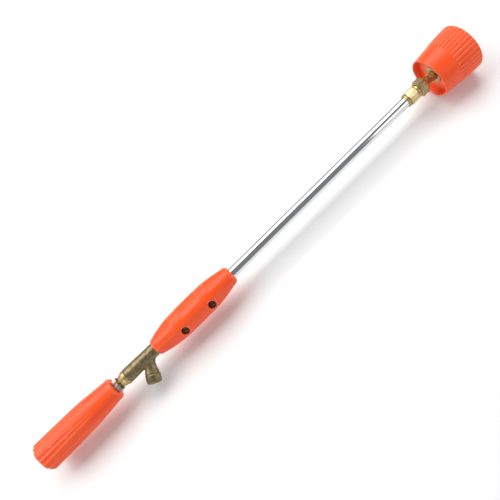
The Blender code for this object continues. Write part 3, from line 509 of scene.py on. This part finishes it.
def make_body():
    """The forged barrel and branch, joined by a remesh so that they flow into each other."""
    edge = 0.0005
    outline = solid([(BODY_REAR, BODY_REAR_RADIUS - edge), (BODY_REAR + edge, BODY_REAR_RADIUS),
                     (BRANCH_STATION + 0.0022, BODY_RADIUS), (GRIP_START + 0.0100, BODY_RADIUS)])
    body = turned("body_forging", outline, None, LANCE)
    combine(body, branch_blank(), "UNION")
    combine(body, crotch_web(), "UNION")
    remesh = body.modifiers.new("skin", "REMESH")
    remesh.mode = "VOXEL"
    remesh.voxel_size = FORGING_VOXEL
    soften = body.modifiers.new("soften", "SMOOTH")
    soften.factor = 0.6
    soften.iterations = 8
    bake_modifiers(body)
    blend_crotch(body)
    return smooth(body, 50)


def blend_crotch(body):
    """Smooth the forging most where the branch meets the barrel."""
    shape = bmesh.new()
    shape.from_mesh(body.data)
    middle = Vector((BODY_RADIUS, 0.0, BRANCH_STATION))
    reach, passes = 0.0080, 8
    near = [vert for vert in shape.verts if (vert.co - middle).length < reach]
    for _ in range(passes):
        bmesh.ops.smooth_vert(shape, verts=near, factor=0.5,
                              use_axis_x=True, use_axis_y=True, use_axis_z=True)
    shape.to_mesh(body.data)
    shape.free()


def make_branch_collar():
    """The turned collar on the branch's end, with the hose thread inside."""
    start, end = BRANCH_LENGTH - BRANCH_COLLAR_LENGTH, BRANCH_LENGTH
    rear = start - 0.0016
    floor = end - INLET_DEPTH
    full = BRANCH_COLLAR_RADIUS
    outside = [(rear, 0.0070), (start - 0.0002, 0.0071), (start + 0.0004, full - 0.0002),
               (start + 0.0009, full), (end - 0.0022, full), (end - 0.0012, full - 0.0003),
               (end - 0.0003, full - 0.0010), (end, full - 0.0014), (end, 0.0064)]
    inside = [(floor, INLET_RADIUS), (floor, CHANNEL_RADIUS), (rear, CHANNEL_RADIUS - 0.0001)]
    count = 96
    thread = thread_rings(floor + 0.0004, end - 0.0006, INLET_RADIUS + 0.0004,
                          INLET_THREAD_DEPTH, INLET_THREAD_PITCH, 1, count=count)
    rings = [circle(station, radius, count) for station, radius in softened(outside, 0.0005, closed=False)]
    rings += list(reversed(thread))
    rings += [circle(station, radius, count) for station, radius in inside]
    return smooth(mesh_object("branch_collar", skin_mesh("branch_collar", rings, loop=True), BRANCH), 50)


# ---------------------------------------------------------------- grip

def grip_radius(station):
    """The grip's outer radius on its ridges."""
    curve = [(0.0, 0.0089), (0.008, 0.0113), (0.020, 0.0136), (0.033, GRIP_RADIUS - 0.0001),
             (0.075, GRIP_RADIUS), (0.087, 0.0141), (0.0995, 0.0120), (GRIP_LENGTH, 0.0099)]
    forward = station - GRIP_START
    return (smooth_between(curve, forward) - end_rounding(forward, GRIP_REAR_FILLET)
            - end_rounding(GRIP_LENGTH - forward, GRIP_FRONT_FILLET))


def scoop_depth(station):
    """Depth of the scooped columns, which the bands interrupt and the ends fade out."""
    forward = station - GRIP_START
    depth = SCOOP_DEPTH * ease(min(forward, GRIP_LENGTH - forward) / 0.024)
    for band in GRIP_BANDS:
        depth *= ease((abs(station - band) - BAND_HALF_WIDTH + 0.0002) / 0.0010)
    return depth


def grip_surface(station, angle):
    """The grip's outer radius at a station and an angle, scoops included."""
    quarter = math.tau / SCOOP_COUNT
    from_middle = abs((angle % quarter) - quarter / 2)
    share = max(0.0, 1.0 - (from_middle / SCOOP_HALF_ANGLE)**2)
    return grip_radius(station) - scoop_depth(station) * share


def grip_stations():
    """Stations along the grip, with extra ones where the bands step up."""
    stations = stations_between(GRIP_START, GRIP_END, GRIP_REAR_FILLET, GRIP_FRONT_FILLET, 0.0012)
    for band in GRIP_BANDS:
        for side in (-1, 1):
            edge = band + side * BAND_HALF_WIDTH
            stations = [s for s in stations if abs(s - edge) > 0.0013]
            stations += [edge + side * step * 0.0002 for step in range(-2, 6)]
    return sorted(stations)


def grip_section(station, side):
    """One half's closed outline at a station; side -1 is the half that the camera sees."""
    arc_points, bore_points = 96, 24
    bore = BODY_RADIUS + GAP if station < BODY_FRONT + GAP else TUBE_RADIUS + GAP
    middle = side * math.pi / 2
    split_rounding = (0.0003, 0.0001, 0.00002)
    section = []
    for i in range(arc_points + 1):
        angle = middle - math.pi / 2 + math.pi * i / arc_points
        radius = grip_surface(station, angle)
        from_split = min(i, arc_points - i)
        radius -= split_rounding[from_split] if from_split < len(split_rounding) else 0.0
        lift = side * GAP / 2 if from_split == 0 else 0.0
        section.append((radius * math.cos(angle), radius * math.sin(angle) + lift, station))
    for i in range(bore_points + 1):
        angle = middle + math.pi / 2 - math.pi * i / bore_points
        lift = side * GAP / 2 if i in (0, bore_points) else 0.0
        section.append((bore * math.cos(angle), bore * math.sin(angle) + lift, station))
    return section


def across_grip(band):
    """The space of a screw that crosses the grip at a band; its Z runs away from the camera."""
    return (GRIP @ Matrix.Translation((GRIP_SCREW_OFFSET, 0.0, band))
            @ Matrix.Rotation(-math.pi / 2, 4, "X"))


def make_grip_half(name, side):
    """One half of the grip, with the pockets for its two nuts or screw heads."""
    rings = [grip_section(station, side) for station in grip_stations()]
    half = mesh_object(name, skin_mesh(name, rings), GRIP)
    for band in GRIP_BANDS:
        if side < 0:
            outline = bore_of(-CUT_OVERRUN, -GRIP_NUT_SEAT, GRIP_POCKET_RADIUS)
        else:
            outline = bore_of(GRIP_HEAD_SEAT, CUT_OVERRUN, GRIP_HEAD_ROOM_RADIUS)
        tool = turned("screw_pocket", solid(outline), None, across_grip(band), steps=64)
        combine(half, tool, "DIFFERENCE")
    return smooth(bevel_edges(half, 0.00035, degrees=40, segments=2), 40)


def make_grip_fasteners(place_name, band):
    """A nut at the bottom of its pocket and the cross-slotted head on the other side."""
    matrix = across_grip(band)
    end = -GRIP_NUT_SEAT - GAP
    start = end - GRIP_NUT_THICKNESS
    bore = bore_of(start, end, GRIP_SCREW_RADIUS + 0.0001)
    nut = hexagonal(f"nut_{place_name}", hex_blank(start, end, GRIP_NUT_ACROSS_FLATS, 0.0005), bore,
                    GRIP_NUT_ACROSS_FLATS, math.pi / 2, matrix, edge=0.00012)
    tip, under = start - 0.0006, GRIP_HEAD_SEAT + GAP
    top = under + GRIP_HEAD_HEIGHT
    outline = [(tip, GRIP_SCREW_RADIUS - 0.0004), (tip + 0.0005, GRIP_SCREW_RADIUS),
               (under, GRIP_SCREW_RADIUS), (under, GRIP_HEAD_RADIUS), (under + 0.0012, GRIP_HEAD_RADIUS),
               (under + 0.0022, GRIP_HEAD_RADIUS - 0.0008), (top, GRIP_HEAD_RADIUS - 0.0022)]
    screw = turned(f"screw_{place_name}", solid(outline), None, matrix, edge=0.0003, steps=64)
    slot_width, slot_depth, slot_ratio = 0.0009, 0.0016, 4.6
    for quarter_turns in (0, 1):
        slot_matrix = (matrix @ Matrix.Rotation(quarter_turns * math.pi / 2, 4, "Z")
                       @ Matrix.Translation((0, 0, top)) @ Matrix.Diagonal((slot_ratio, 1.0, 1.0, 1.0)))
        slot = prism("driver_slot", 4, slot_width, -slot_depth, 0.0010, math.pi / 4, slot_matrix)
        combine(screw, slot, "DIFFERENCE")
    return nut, smooth(screw)


# ---------------------------------------------------------------- tube and nozzle

def make_tube():
    """The polished tube."""
    start, end = span("lance_tube")
    outside, bore = bore_of(start, end, TUBE_RADIUS), bore_of(start, end, TUBE_BORE)
    return smooth(turned("polished_tube", outside, bore, LANCE, steps=128))


def make_collar():
    """The thin round collar behind the adapter."""
    start, end = span("tube_collar")
    outside = [(start, COLLAR_RADIUS - 0.0005), (start + 0.0005, COLLAR_RADIUS),
               (end - 0.0004, COLLAR_RADIUS), (end, COLLAR_RADIUS - 0.0003)]
    return smooth(turned("tube_end_collar", outside, bore_of(start, end, TUBE_RADIUS + 0.00015), LANCE))


def make_adapter():
    """The first hexagon, screwed on the tube's end."""
    start, full_end = span("tube_adapter")
    front = span("adapter_washer")[0] - GAP
    floor = span("lance_tube")[1] + GAP
    outside = hex_blank(start, front, ADAPTER_ACROSS_FLATS, 0.0009)
    outside += [(front, SPIGOT_RADIUS), (full_end, SPIGOT_RADIUS)]
    socket = TUBE_RADIUS + GAP
    bore = [(start, socket), (floor, socket), (floor, SPIGOT_BORE), (full_end, SPIGOT_BORE)]
    turn = -math.pi / 2 + math.radians(8)
    return hexagonal("adapter_hexagon", outside, bore, ADAPTER_ACROSS_FLATS, turn, LANCE)


def make_adapter_washer():
    """The bright round shoulder between the two hexagons."""
    start, end = span("adapter_washer")
    outside, bore = bore_of(start, end, ADAPTER_WASHER_RADIUS), bore_of(start, end, SPIGOT_RADIUS + GAP)
    return smooth(turned("shoulder_washer", outside, bore, LANCE, edge=0.0004))


def make_nozzle_body():
    """The second, larger hexagon and the neck that carries the bell."""
    start, full_end = span("nozzle_body")
    socket, floor = SPIGOT_RADIUS + GAP, span("tube_adapter")[1] + GAP
    outside = hex_blank(start, NOZZLE_HEX_FRONT, NOZZLE_ACROSS_FLATS, 0.0012)
    outside += [(NOZZLE_HEX_FRONT, NECK_RADIUS), (full_end, NECK_RADIUS)]
    bore = [(start, socket), (floor, socket), (floor, NECK_BORE), (full_end, NECK_BORE)]
    turn = -math.pi / 2 + math.radians(4) + math.pi / 6
    return hexagonal("nozzle_hexagon", outside, bore, NOZZLE_ACROSS_FLATS, turn, LANCE)


def make_bell_nut():
    """The small nut against the bell."""
    start, end = span("bell_lock_nut")
    outside = hex_blank(start, end, BELL_NUT_ACROSS_FLATS, 0.0006)
    bore = bore_of(start, end, NECK_RADIUS + 0.0002)
    turn = -math.pi / 2 + math.radians(2)
    return hexagonal("bell_nut", outside, bore, BELL_NUT_ACROSS_FLATS, turn, LANCE)


def make_bell_washer():
    """The wide washer between the small nut and the bell's web."""
    start, end = span("bell_washer")
    outside, bore = bore_of(start, end, BELL_WASHER_RADIUS), bore_of(start, end, NECK_RADIUS + GAP)
    return smooth(turned("wide_washer", outside, bore, LANCE, edge=0.0003))


def make_nozzle_cap():
    """The nozzle's cap inside the bell."""
    start, end = span("nozzle_cap")
    outside = hex_blank(start, CAP_HEX_FRONT, CAP_ACROSS_FLATS, 0.0009)
    edge, throat, mouth = 0.0010, 0.0018, 0.0030
    outside += [(CAP_HEX_FRONT, CAP_NOSE_RADIUS), (end - edge, CAP_NOSE_RADIUS),
                (end, CAP_NOSE_RADIUS - edge)]
    room, room_end = NECK_RADIUS + GAP, span("orifice_disc")[1] + GAP
    bore = [(start, room), (room_end, room), (room_end, throat), (end, mouth)]
    return hexagonal("cap_hexagon", outside, bore, CAP_ACROSS_FLATS, -math.pi / 2, LANCE)


# ---------------------------------------------------------------- bell

def bell_radius(station):
    """The bell's outer radius, with rounded rims."""
    curve = [(BELL_REAR, BELL_REAR_RADIUS), (BELL_WEB_FRONT, 0.02448),
             (BELL_FLUTES_REAR, BELL_STEP_RADIUS), (BELL_SWELL, 0.02648), (LENGTH, BELL_FRONT_RADIUS)]
    return (smooth_between(curve, station) - end_rounding(station - BELL_REAR, BELL_REAR_FILLET)
            - end_rounding(LENGTH - station, BELL_FRONT_FILLET))


def bell_ring(station):
    """The bell's outline at a station: round behind, fluted in front."""
    points_per_flute = 12
    fluted = ease((station - BELL_FLUTES_REAR) / 0.0006) * ease((LENGTH - 0.0002 - station) / 0.0016)
    step_down = 0.0003 * (1 - ease((station - BELL_FLUTES_REAR) / 0.0006))
    ring = []
    for i in range(FLUTE_COUNT * points_per_flute):
        place = (i % points_per_flute) / points_per_flute
        from_groove = min(place, 1 - place)
        groove = 1 - ease(from_groove / 0.30)
        crown = 0.25 * (1 - ease(from_groove / 0.5))
        radius = bell_radius(station) - step_down - FLUTE_DEPTH * fluted * (groove * 0.75 + crown)
        angle = math.tau * i / (FLUTE_COUNT * points_per_flute)
        ring.append((radius * math.cos(angle), radius * math.sin(angle), station))
    return ring


def make_bell():
    """The fluted bell, open at both ends, with the web that the neck goes through."""
    stations = stations_between(BELL_REAR, LENGTH, BELL_REAR_FILLET, BELL_FRONT_FILLET, 0.0013)
    step_stations = [BELL_FLUTES_REAR + 0.00012 * i for i in range(-1, 8)]
    stations = [s for s in stations if abs(s - BELL_FLUTES_REAR) > 0.0012] + step_stations
    outside = [bell_ring(station) for station in sorted(stations)]
    rear_wall, front_wall, corner = BELL_REAR_HOLLOW, BELL_FRONT_HOLLOW, 0.0010
    hole = NECK_RADIUS + GAP
    rear, front = BELL_WEB_REAR, BELL_WEB_FRONT
    inside_outline = [(LENGTH - 0.0006, BELL_RIM_HOLLOW + 0.0004), (LENGTH - 0.0016, BELL_RIM_HOLLOW),
                      (BELL_FLUTES_REAR, front_wall + 0.0002),
                      (front + corner, front_wall), (front + 0.3 * corner, front_wall - 0.3 * corner),
                      (front, front_wall - corner), (front, hole), (rear, hole),
                      (rear, rear_wall - corner), (rear - 0.3 * corner, rear_wall - 0.3 * corner),
                      (rear - corner, rear_wall), (BELL_REAR + 0.0006, rear_wall),
                      (BELL_REAR + 0.0001, rear_wall + 0.0004)]
    count = len(outside[0])
    inside = [circle(station, radius, count) for station, radius in inside_outline]
    mesh = skin_mesh("fluted_bell", outside + inside, loop=True)
    return smooth(mesh_object("fluted_bell", mesh, LANCE), 42)


# ---------------------------------------------------------------- materials

def linear(red, green, blue):
    """A display colour from 0 to 255 as scene-linear values."""
    shares = [channel / 255 for channel in (red, green, blue)]
    return tuple(((c + 0.055) / 1.055)**2.4 if c > 0.04045 else c / 12.92 for c in shares)


def start_material(name, roughness, metallic):
    """A material with a Principled shader and object coordinates."""
    material = bpy.data.materials.new(name)
    material.use_nodes = True
    tree = material.node_tree
    shader = tree.nodes["Principled BSDF"]
    shader.inputs["Roughness"].default_value = roughness
    shader.inputs["Metallic"].default_value = metallic
    coords = tree.nodes.new("ShaderNodeTexCoord").outputs["Object"]
    return material, tree, shader, coords


def noise(tree, coords, scale, detail=3.0, stretch=(1.0, 1.0, 1.0)):
    """Noise of a given scale per metre, drawn out along an axis by a smaller stretch factor."""
    mapping = tree.nodes.new("ShaderNodeMapping")
    mapping.inputs["Scale"].default_value = stretch
    texture = tree.nodes.new("ShaderNodeTexNoise")
    texture.inputs["Scale"].default_value = scale
    texture.inputs["Detail"].default_value = detail
    tree.links.new(coords, mapping.inputs["Vector"])
    tree.links.new(mapping.outputs["Vector"], texture.inputs["Vector"])
    return texture.outputs["Fac"]


def rings_along(tree, coords, spacing, distortion):
    """Fine rings round the lance, as a cutting tool leaves them."""
    wave = tree.nodes.new("ShaderNodeTexWave")
    wave.wave_type = "BANDS"
    wave.bands_direction = "Z"
    wave.inputs["Scale"].default_value = math.tau / 20 / spacing
    wave.inputs["Distortion"].default_value = distortion
    wave.inputs["Detail"].default_value = 2.0
    tree.links.new(coords, wave.inputs["Vector"])
    return wave.outputs["Fac"]


def ramp(tree, factor, stops):
    """A colour ramp; each stop is (position, linear colour)."""
    node = tree.nodes.new("ShaderNodeValToRGB")
    elements = node.color_ramp.elements
    while len(elements) < len(stops):
        elements.new(0.5)
    for element, (position, colour) in zip(elements, stops):
        element.position = position
        element.color = (*colour, 1.0)
    tree.links.new(factor, node.inputs["Fac"])
    return node.outputs["Color"]


def mixed(tree, factor, first, second, blend="MIX", amount=1.0):
    """Blend two colours; an amount below 1 weakens the factor."""
    node = tree.nodes.new("ShaderNodeMix")
    node.data_type = "RGBA"
    node.blend_type = blend
    strength = tree.nodes.new("ShaderNodeMath")
    strength.operation = "MULTIPLY"
    strength.inputs[1].default_value = amount
    tree.links.new(factor, strength.inputs[0])
    tree.links.new(strength.outputs[0], node.inputs["Factor"])
    tree.links.new(first, node.inputs["A"])
    if isinstance(second, tuple):
        node.inputs["B"].default_value = (*second, 1.0)
    else:
        tree.links.new(second, node.inputs["B"])
    return node.outputs["Result"]


def spread(tree, factor, low, high):
    """Map a factor from 0 to 1 onto a range."""
    node = tree.nodes.new("ShaderNodeMapRange")
    node.inputs["To Min"].default_value = low
    node.inputs["To Max"].default_value = high
    tree.links.new(factor, node.inputs["Value"])
    return node.outputs["Result"]


def bump(tree, height, depth, under=None, strength=1.0):
    """A bump of a real depth, on top of another bump if one is given."""
    node = tree.nodes.new("ShaderNodeBump")
    node.inputs["Strength"].default_value = strength
    node.inputs["Distance"].default_value = depth
    tree.links.new(height, node.inputs["Height"])
    if under is not None:
        tree.links.new(under, node.inputs["Normal"])
    return node.outputs["Normal"]


def edge_wear_and_highlight(tree, low, high):
    """A factor that rises on convex edges, used for worn metal edges and for painted edge highlights."""
    geometry = tree.nodes.new("ShaderNodeNewGeometry")
    return ramp(tree, geometry.outputs["Pointiness"], [(low, (0, 0, 0)), (high, (1, 1, 1))])


def connect(tree, shader, colour, roughness, normal):
    """Plug the finished colour, roughness and bump into the shader."""
    tree.links.new(colour, shader.inputs["Base Color"])
    tree.links.new(roughness, shader.inputs["Roughness"])
    tree.links.new(normal, shader.inputs["Normal"])


def orange_plastic():
    """Moulded orange plastic: faint flow marks, fine skin texture, a painted highlight on its edges and
    ridges.
    """
    material, tree, shader, coords = start_material("orange_plastic", 0.3, 0.0)
    flow = noise(tree, coords, 60.0, 3.0, (1.0, 1.0, 0.25))
    colour = ramp(tree, flow, [(0.25, linear(246, 78, 26)), (0.75, linear(252, 90, 34))])
    # painted highlight: convex edges and groove ridges are lightened toward pale orange, standing in for
    # glints of the key light
    edge_highlight = edge_wear_and_highlight(tree, 0.505, 0.56)
    colour = mixed(tree, edge_highlight, colour, linear(255, 150, 110), amount=0.7)
    scuffs = noise(tree, coords, 900.0, 5.0, (1.0, 1.0, 0.08))
    roughness = spread(tree, scuffs, 0.30, 0.44)
    skin = bump(tree, noise(tree, coords, 2600.0, 2.0), 0.00002, strength=0.5)
    waviness = bump(tree, noise(tree, coords, 130.0, 1.0), 0.00010, under=skin, strength=0.6)
    connect(tree, shader, colour, roughness, waviness)
    shader.inputs["Subsurface Weight"].default_value = 0.03
    shader.inputs["Subsurface Radius"].default_value = (1.0, 0.28, 0.10)
    shader.inputs["Subsurface Scale"].default_value = 0.002
    shader.inputs["Specular IOR Level"].default_value = 0.38
    return material


def forged_brass():
    """Olive forged brass: dull oxide, turning lines, a few bright scratches."""
    material, tree, shader, coords = start_material("forged_brass", 0.42, 1.0)
    patches = noise(tree, coords, 260.0, 5.0)
    colour = ramp(tree, patches, [(0.30, linear(112, 98, 72)), (0.55, linear(138, 124, 94)),
                                  (0.75, linear(160, 144, 112))])
    scratches = noise(tree, coords, 1500.0, 4.0, (0.25, 0.25, 1.0))
    bright = ramp(tree, scratches, [(0.64, (0, 0, 0)), (0.72, (1, 1, 1))])
    colour = mixed(tree, bright, colour, linear(205, 190, 150), amount=0.45)
    colour = mixed(tree, edge_wear_and_highlight(tree, 0.52, 0.62), colour, linear(214, 196, 150), amount=0.6)
    lines = rings_along(tree, coords, 0.00045, 1.5)
    roughness = spread(tree, patches, 0.38, 0.52)
    normal = bump(tree, lines, 0.00002, strength=0.7)
    normal = bump(tree, noise(tree, coords, 900.0, 4.0), 0.00004, under=normal, strength=0.5)
    connect(tree, shader, colour, roughness, normal)
    return material


def turned_brass(name, dark, light, roughness_low, roughness_high):
    """Bright brass from the lathe, with faint stains and tool lines."""
    material, tree, shader, coords = start_material(name, 0.25, 1.0)
    stains = noise(tree, coords, 420.0, 4.0)
    colour = ramp(tree, stains, [(0.28, dark), (0.62, light)])
    colour = mixed(tree, edge_wear_and_highlight(tree, 0.52, 0.62), colour, linear(250, 236, 190), amount=0.5)
    lines = rings_along(tree, coords, 0.00030, 0.8)
    roughness = spread(tree, noise(tree, coords, 1300.0, 3.0), roughness_low, roughness_high)
    normal = bump(tree, lines, 0.00001, strength=0.6)
    normal = bump(tree, noise(tree, coords, 2200.0, 3.0), 0.00001, under=normal, strength=0.5)
    connect(tree, shader, colour, roughness, normal)
    return material


def chrome():
    """Polished chrome with hairline scratches drawn along the tube and a few dull flecks."""
    material, tree, shader, coords = start_material("chromed_tube", 0.08, 1.0)
    hairlines = noise(tree, coords, 2200.0, 3.0, (1.0, 1.0, 0.02))
    flecks = ramp(tree, noise(tree, coords, 700.0, 4.0), [(0.62, (0, 0, 0)), (0.78, (1, 1, 1))])
    colour = ramp(tree, hairlines, [(0.30, linear(214, 216, 218)), (0.70, linear(234, 235, 236))])
    colour = mixed(tree, flecks, colour, linear(180, 182, 184), amount=0.25)
    roughness = spread(tree, hairlines, 0.05, 0.13)
    normal = bump(tree, hairlines, 0.000004, strength=0.5)
    connect(tree, shader, colour, roughness, normal)
    return material


def plated_steel(name, dark, light, roughness_low, roughness_high):
    """Plated steel with a soft crystalline mottling and rubbed edges."""
    material, tree, shader, coords = start_material(name, 0.3, 1.0)
    mottling = noise(tree, coords, 800.0, 5.0)
    colour = ramp(tree, mottling, [(0.30, dark), (0.70, light)])
    colour = mixed(tree, edge_wear_and_highlight(tree, 0.52, 0.62), colour, linear(226, 220, 208), amount=0.6)
    roughness = spread(tree, noise(tree, coords, 500.0, 3.0), roughness_low, roughness_high)
    normal = bump(tree, noise(tree, coords, 1800.0, 3.0), 0.00001, strength=0.6)
    connect(tree, shader, colour, roughness, normal)
    return material


def soft_solid(name, dark, light, roughness):
    """A seal's plain polymer, slightly mottled."""
    material, tree, shader, coords = start_material(name, roughness, 0.0)
    mottling = noise(tree, coords, 900.0, 3.0)
    colour = ramp(tree, mottling, [(0.30, dark), (0.70, light)])
    rough = spread(tree, mottling, roughness - 0.06, roughness + 0.06)
    connect(tree, shader, colour, rough, bump(tree, mottling, 0.00002, strength=0.5))
    return material


def floor_material():
    """A plain pale floor."""
    material, tree, shader, coords = start_material("pale_floor", 0.85, 0.0)
    dark, light = (0.90, 0.90, 0.90), (0.92, 0.92, 0.92)
    tone = ramp(tree, noise(tree, coords, 6.0, 2.0), [(0.3, dark), (0.7, light)])
    tree.links.new(tone, shader.inputs["Base Color"])
    return material


# ---------------------------------------------------------------- put together

def make_materials():
    """One material for each of the record's slots."""
    turned_finishes = {
        "turned_brass": (linear(160, 140, 96), linear(196, 176, 128), 0.34, 0.48),
        "spindle_brass": (linear(176, 132, 54), linear(222, 184, 96), 0.16, 0.28),
        "copper_washer": (linear(186, 142, 100), linear(220, 180, 130), 0.28, 0.40),
    }
    plated_finishes = {
        "zinc_steel": (linear(150, 150, 152), linear(190, 190, 190), 0.26, 0.42),
        # dark_nickel's dark reddish brown is painted shade and a painted reflection of the orange plastic, so
        # the nuts deep in the grip's pockets read dark red
        "dark_nickel": (linear(88, 56, 44), linear(118, 84, 66), 0.30, 0.44),
    }
    soft_finishes = {
        "white_packing": (linear(214, 212, 202), linear(234, 232, 224), 0.55),
        "black_rubber": (linear(26, 26, 28), linear(44, 44, 46), 0.60),
    }
    made = {"orange_plastic": orange_plastic(), "forged_brass": forged_brass(), "chromed_tube": chrome()}
    made |= {name: turned_brass(name, *finish) for name, finish in turned_finishes.items()}
    made |= {name: plated_steel(name, *finish) for name, finish in plated_finishes.items()}
    made |= {name: soft_solid(name, *finish) for name, finish in soft_finishes.items()}
    return made


materials = make_materials()
record = frame["record"]
slot_of = {entry["node"]: entry["material_slot"] for entry in record["subparts"]}
body_of = {node: body for body, nodes in record["behaviour"]["bodies"].items() for node in nodes}


def stand_for(piece, *nodes):
    """Square a fine piece up to the room, with the material and body of the CAD nodes it stands for."""
    slot_name = slot_of[nodes[0]]
    piece.data.transform(UNROLLED.inverted() @ piece.matrix_world)
    piece.matrix_world = UNROLLED
    piece.data.materials.clear()
    piece.data.materials.append(materials[slot_name])
    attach(piece, body_of[nodes[0]])
    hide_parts(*nodes)


for name, node in frame["nodes"].items():
    for material_slot in node.material_slots:
        material_slot.material = materials[slot_of[name]]

stand_for(make_handle(), "handle")
stand_for(make_end_cap(), "handle_end_cap")
stand_for(make_lock_nut(), "handle_lock_nut")
stand_for(make_spindle(), "spindle")
stand_for(make_gland(), "gland_nut")
stand_for(make_body(), "valve_body")
stand_for(make_branch_collar(), "valve_body")
stand_for(make_grip_half("grip_shell_near", -1), "grip_half_near")
stand_for(make_grip_half("grip_shell_far", 1), "grip_half_far")
for place_name, band in zip(("rear", "front"), GRIP_BANDS):
    nut, screw = make_grip_fasteners(place_name, band)
    stand_for(nut, f"grip_nut_{place_name}")
    stand_for(screw, f"grip_screw_{place_name}")
stand_for(make_tube(), "lance_tube")
stand_for(make_collar(), "tube_collar")
stand_for(make_adapter(), "tube_adapter")
stand_for(make_adapter_washer(), "adapter_washer")
stand_for(make_nozzle_body(), "nozzle_body")
stand_for(make_bell_nut(), "bell_lock_nut")
stand_for(make_bell_washer(), "bell_washer")
stand_for(make_nozzle_cap(), "nozzle_cap")
stand_for(make_bell(), "bell")


# ---------------------------------------------------------------- floor, light and camera

def make_floor():
    """A large plain floor under the lance."""
    mesh = bpy.data.meshes.new("floor")
    size = FLOOR_REACH
    corners = [(-size, -size, 0), (size, -size, 0), (size, size, 0), (-size, size, 0)]
    mesh.from_pydata(corners, [], [(0, 1, 2, 3)])
    floor = mesh_object("floor", mesh, Matrix.Translation((0.0, 0.0, FLOOR_HEIGHT)))
    mesh.materials.append(floor_material())


FORWARD = Vector((1.0, 0.0, 0.0))
TOWARD_BRANCH = Vector((0.0, -math.cos(BRANCH_DROP), -math.sin(BRANCH_DROP)))
TOWARD_CAMERA = Vector((0.0, -math.sin(BRANCH_DROP), math.cos(BRANCH_DROP)))
IMAGE_TILT = math.radians(44.56)    # the lance rises this much from the picture's bottom edge
CAMERA_STATION = 0.3045
CAMERA_TOWARD_BRANCH = -0.00385
CAMERA_DISTANCE = 0.589
CAMERA_LENS = 40.7                  # in millimetres, on a sensor 36 mm wide
FLOOR_REACH = 6.0
FLOOR_HEIGHT = -0.0005
ROOM_LIGHT = 0.25


def on_lance(station, toward_branch=0.0, toward_camera=0.0):
    """A point of the room, measured from the lance."""
    rear = Vector((REAR_X, 0.0, AXIS_Z))
    return rear + FORWARD * station + TOWARD_BRANCH * toward_branch + TOWARD_CAMERA * toward_camera


def aim(obj, place, right, up):
    """Put a camera or a light in place, given its right and up directions."""
    back = right.cross(up)
    rotation = Matrix((right, up, back)).transposed().to_4x4()
    obj.matrix_world = Matrix.Translation(place) @ rotation


def make_camera():
    """The camera, close above the middle of the lance and square to it."""
    data = bpy.data.cameras.new("camera")
    data.lens = CAMERA_LENS
    data.sensor_width = 36.0
    data.clip_start = 0.01
    camera = bpy.data.objects.new("camera", data)
    bpy.context.scene.collection.objects.link(camera)
    cosine, sine = math.cos(IMAGE_TILT), math.sin(IMAGE_TILT)
    right = FORWARD * cosine + TOWARD_BRANCH * sine
    up = FORWARD * sine - TOWARD_BRANCH * cosine
    aim(camera, on_lance(CAMERA_STATION, CAMERA_TOWARD_BRANCH, CAMERA_DISTANCE), right, up)
    bpy.context.scene.camera = camera


def add_softbox(name, round_lance, lean, distance, width, length, power, along=0.30):
    """A soft light that faces the point of the lance at the station along.

    Its direction is an angle round the lance from the camera toward the branch, leant toward the bell.
    """
    angle, lean = math.radians(round_lance), math.radians(lean)
    outward = TOWARD_CAMERA * math.cos(angle) + TOWARD_BRANCH * math.sin(angle)
    back = outward * math.cos(lean) + FORWARD * math.sin(lean)
    right = FORWARD * math.cos(lean) - outward * math.sin(lean)
    data = bpy.data.lights.new(name, "AREA")
    data.shape = "RECTANGLE"
    data.size = length
    data.size_y = width
    data.energy = power
    light = bpy.data.objects.new(name, data)
    bpy.context.scene.collection.objects.link(light)
    aim(light, on_lance(along) + back * distance, right, back.cross(right))


def make_light():
    """A broad key above left of the lance, a light beyond each of its ends and a dim room."""
    add_softbox("key", -60, 0, 1.2, 1.00, 3.0, 30.0, along=0.10)
    add_softbox("handle_end", 30, -50, 1.6, 0.9, 1.2, 6.0)
    add_softbox("bell_end", 30, 50, 1.6, 0.9, 1.2, 6.0)
    world = bpy.data.worlds.new("studio")
    bpy.context.scene.world = world
    world.use_nodes = True
    background = world.node_tree.nodes["Background"]
    background.inputs["Color"].default_value = (1.0, 1.0, 1.0, 1.0)
    background.inputs["Strength"].default_value = ROOM_LIGHT


make_floor()
make_camera()
make_light()
bpy.context.scene.view_settings.view_transform = "Standard"
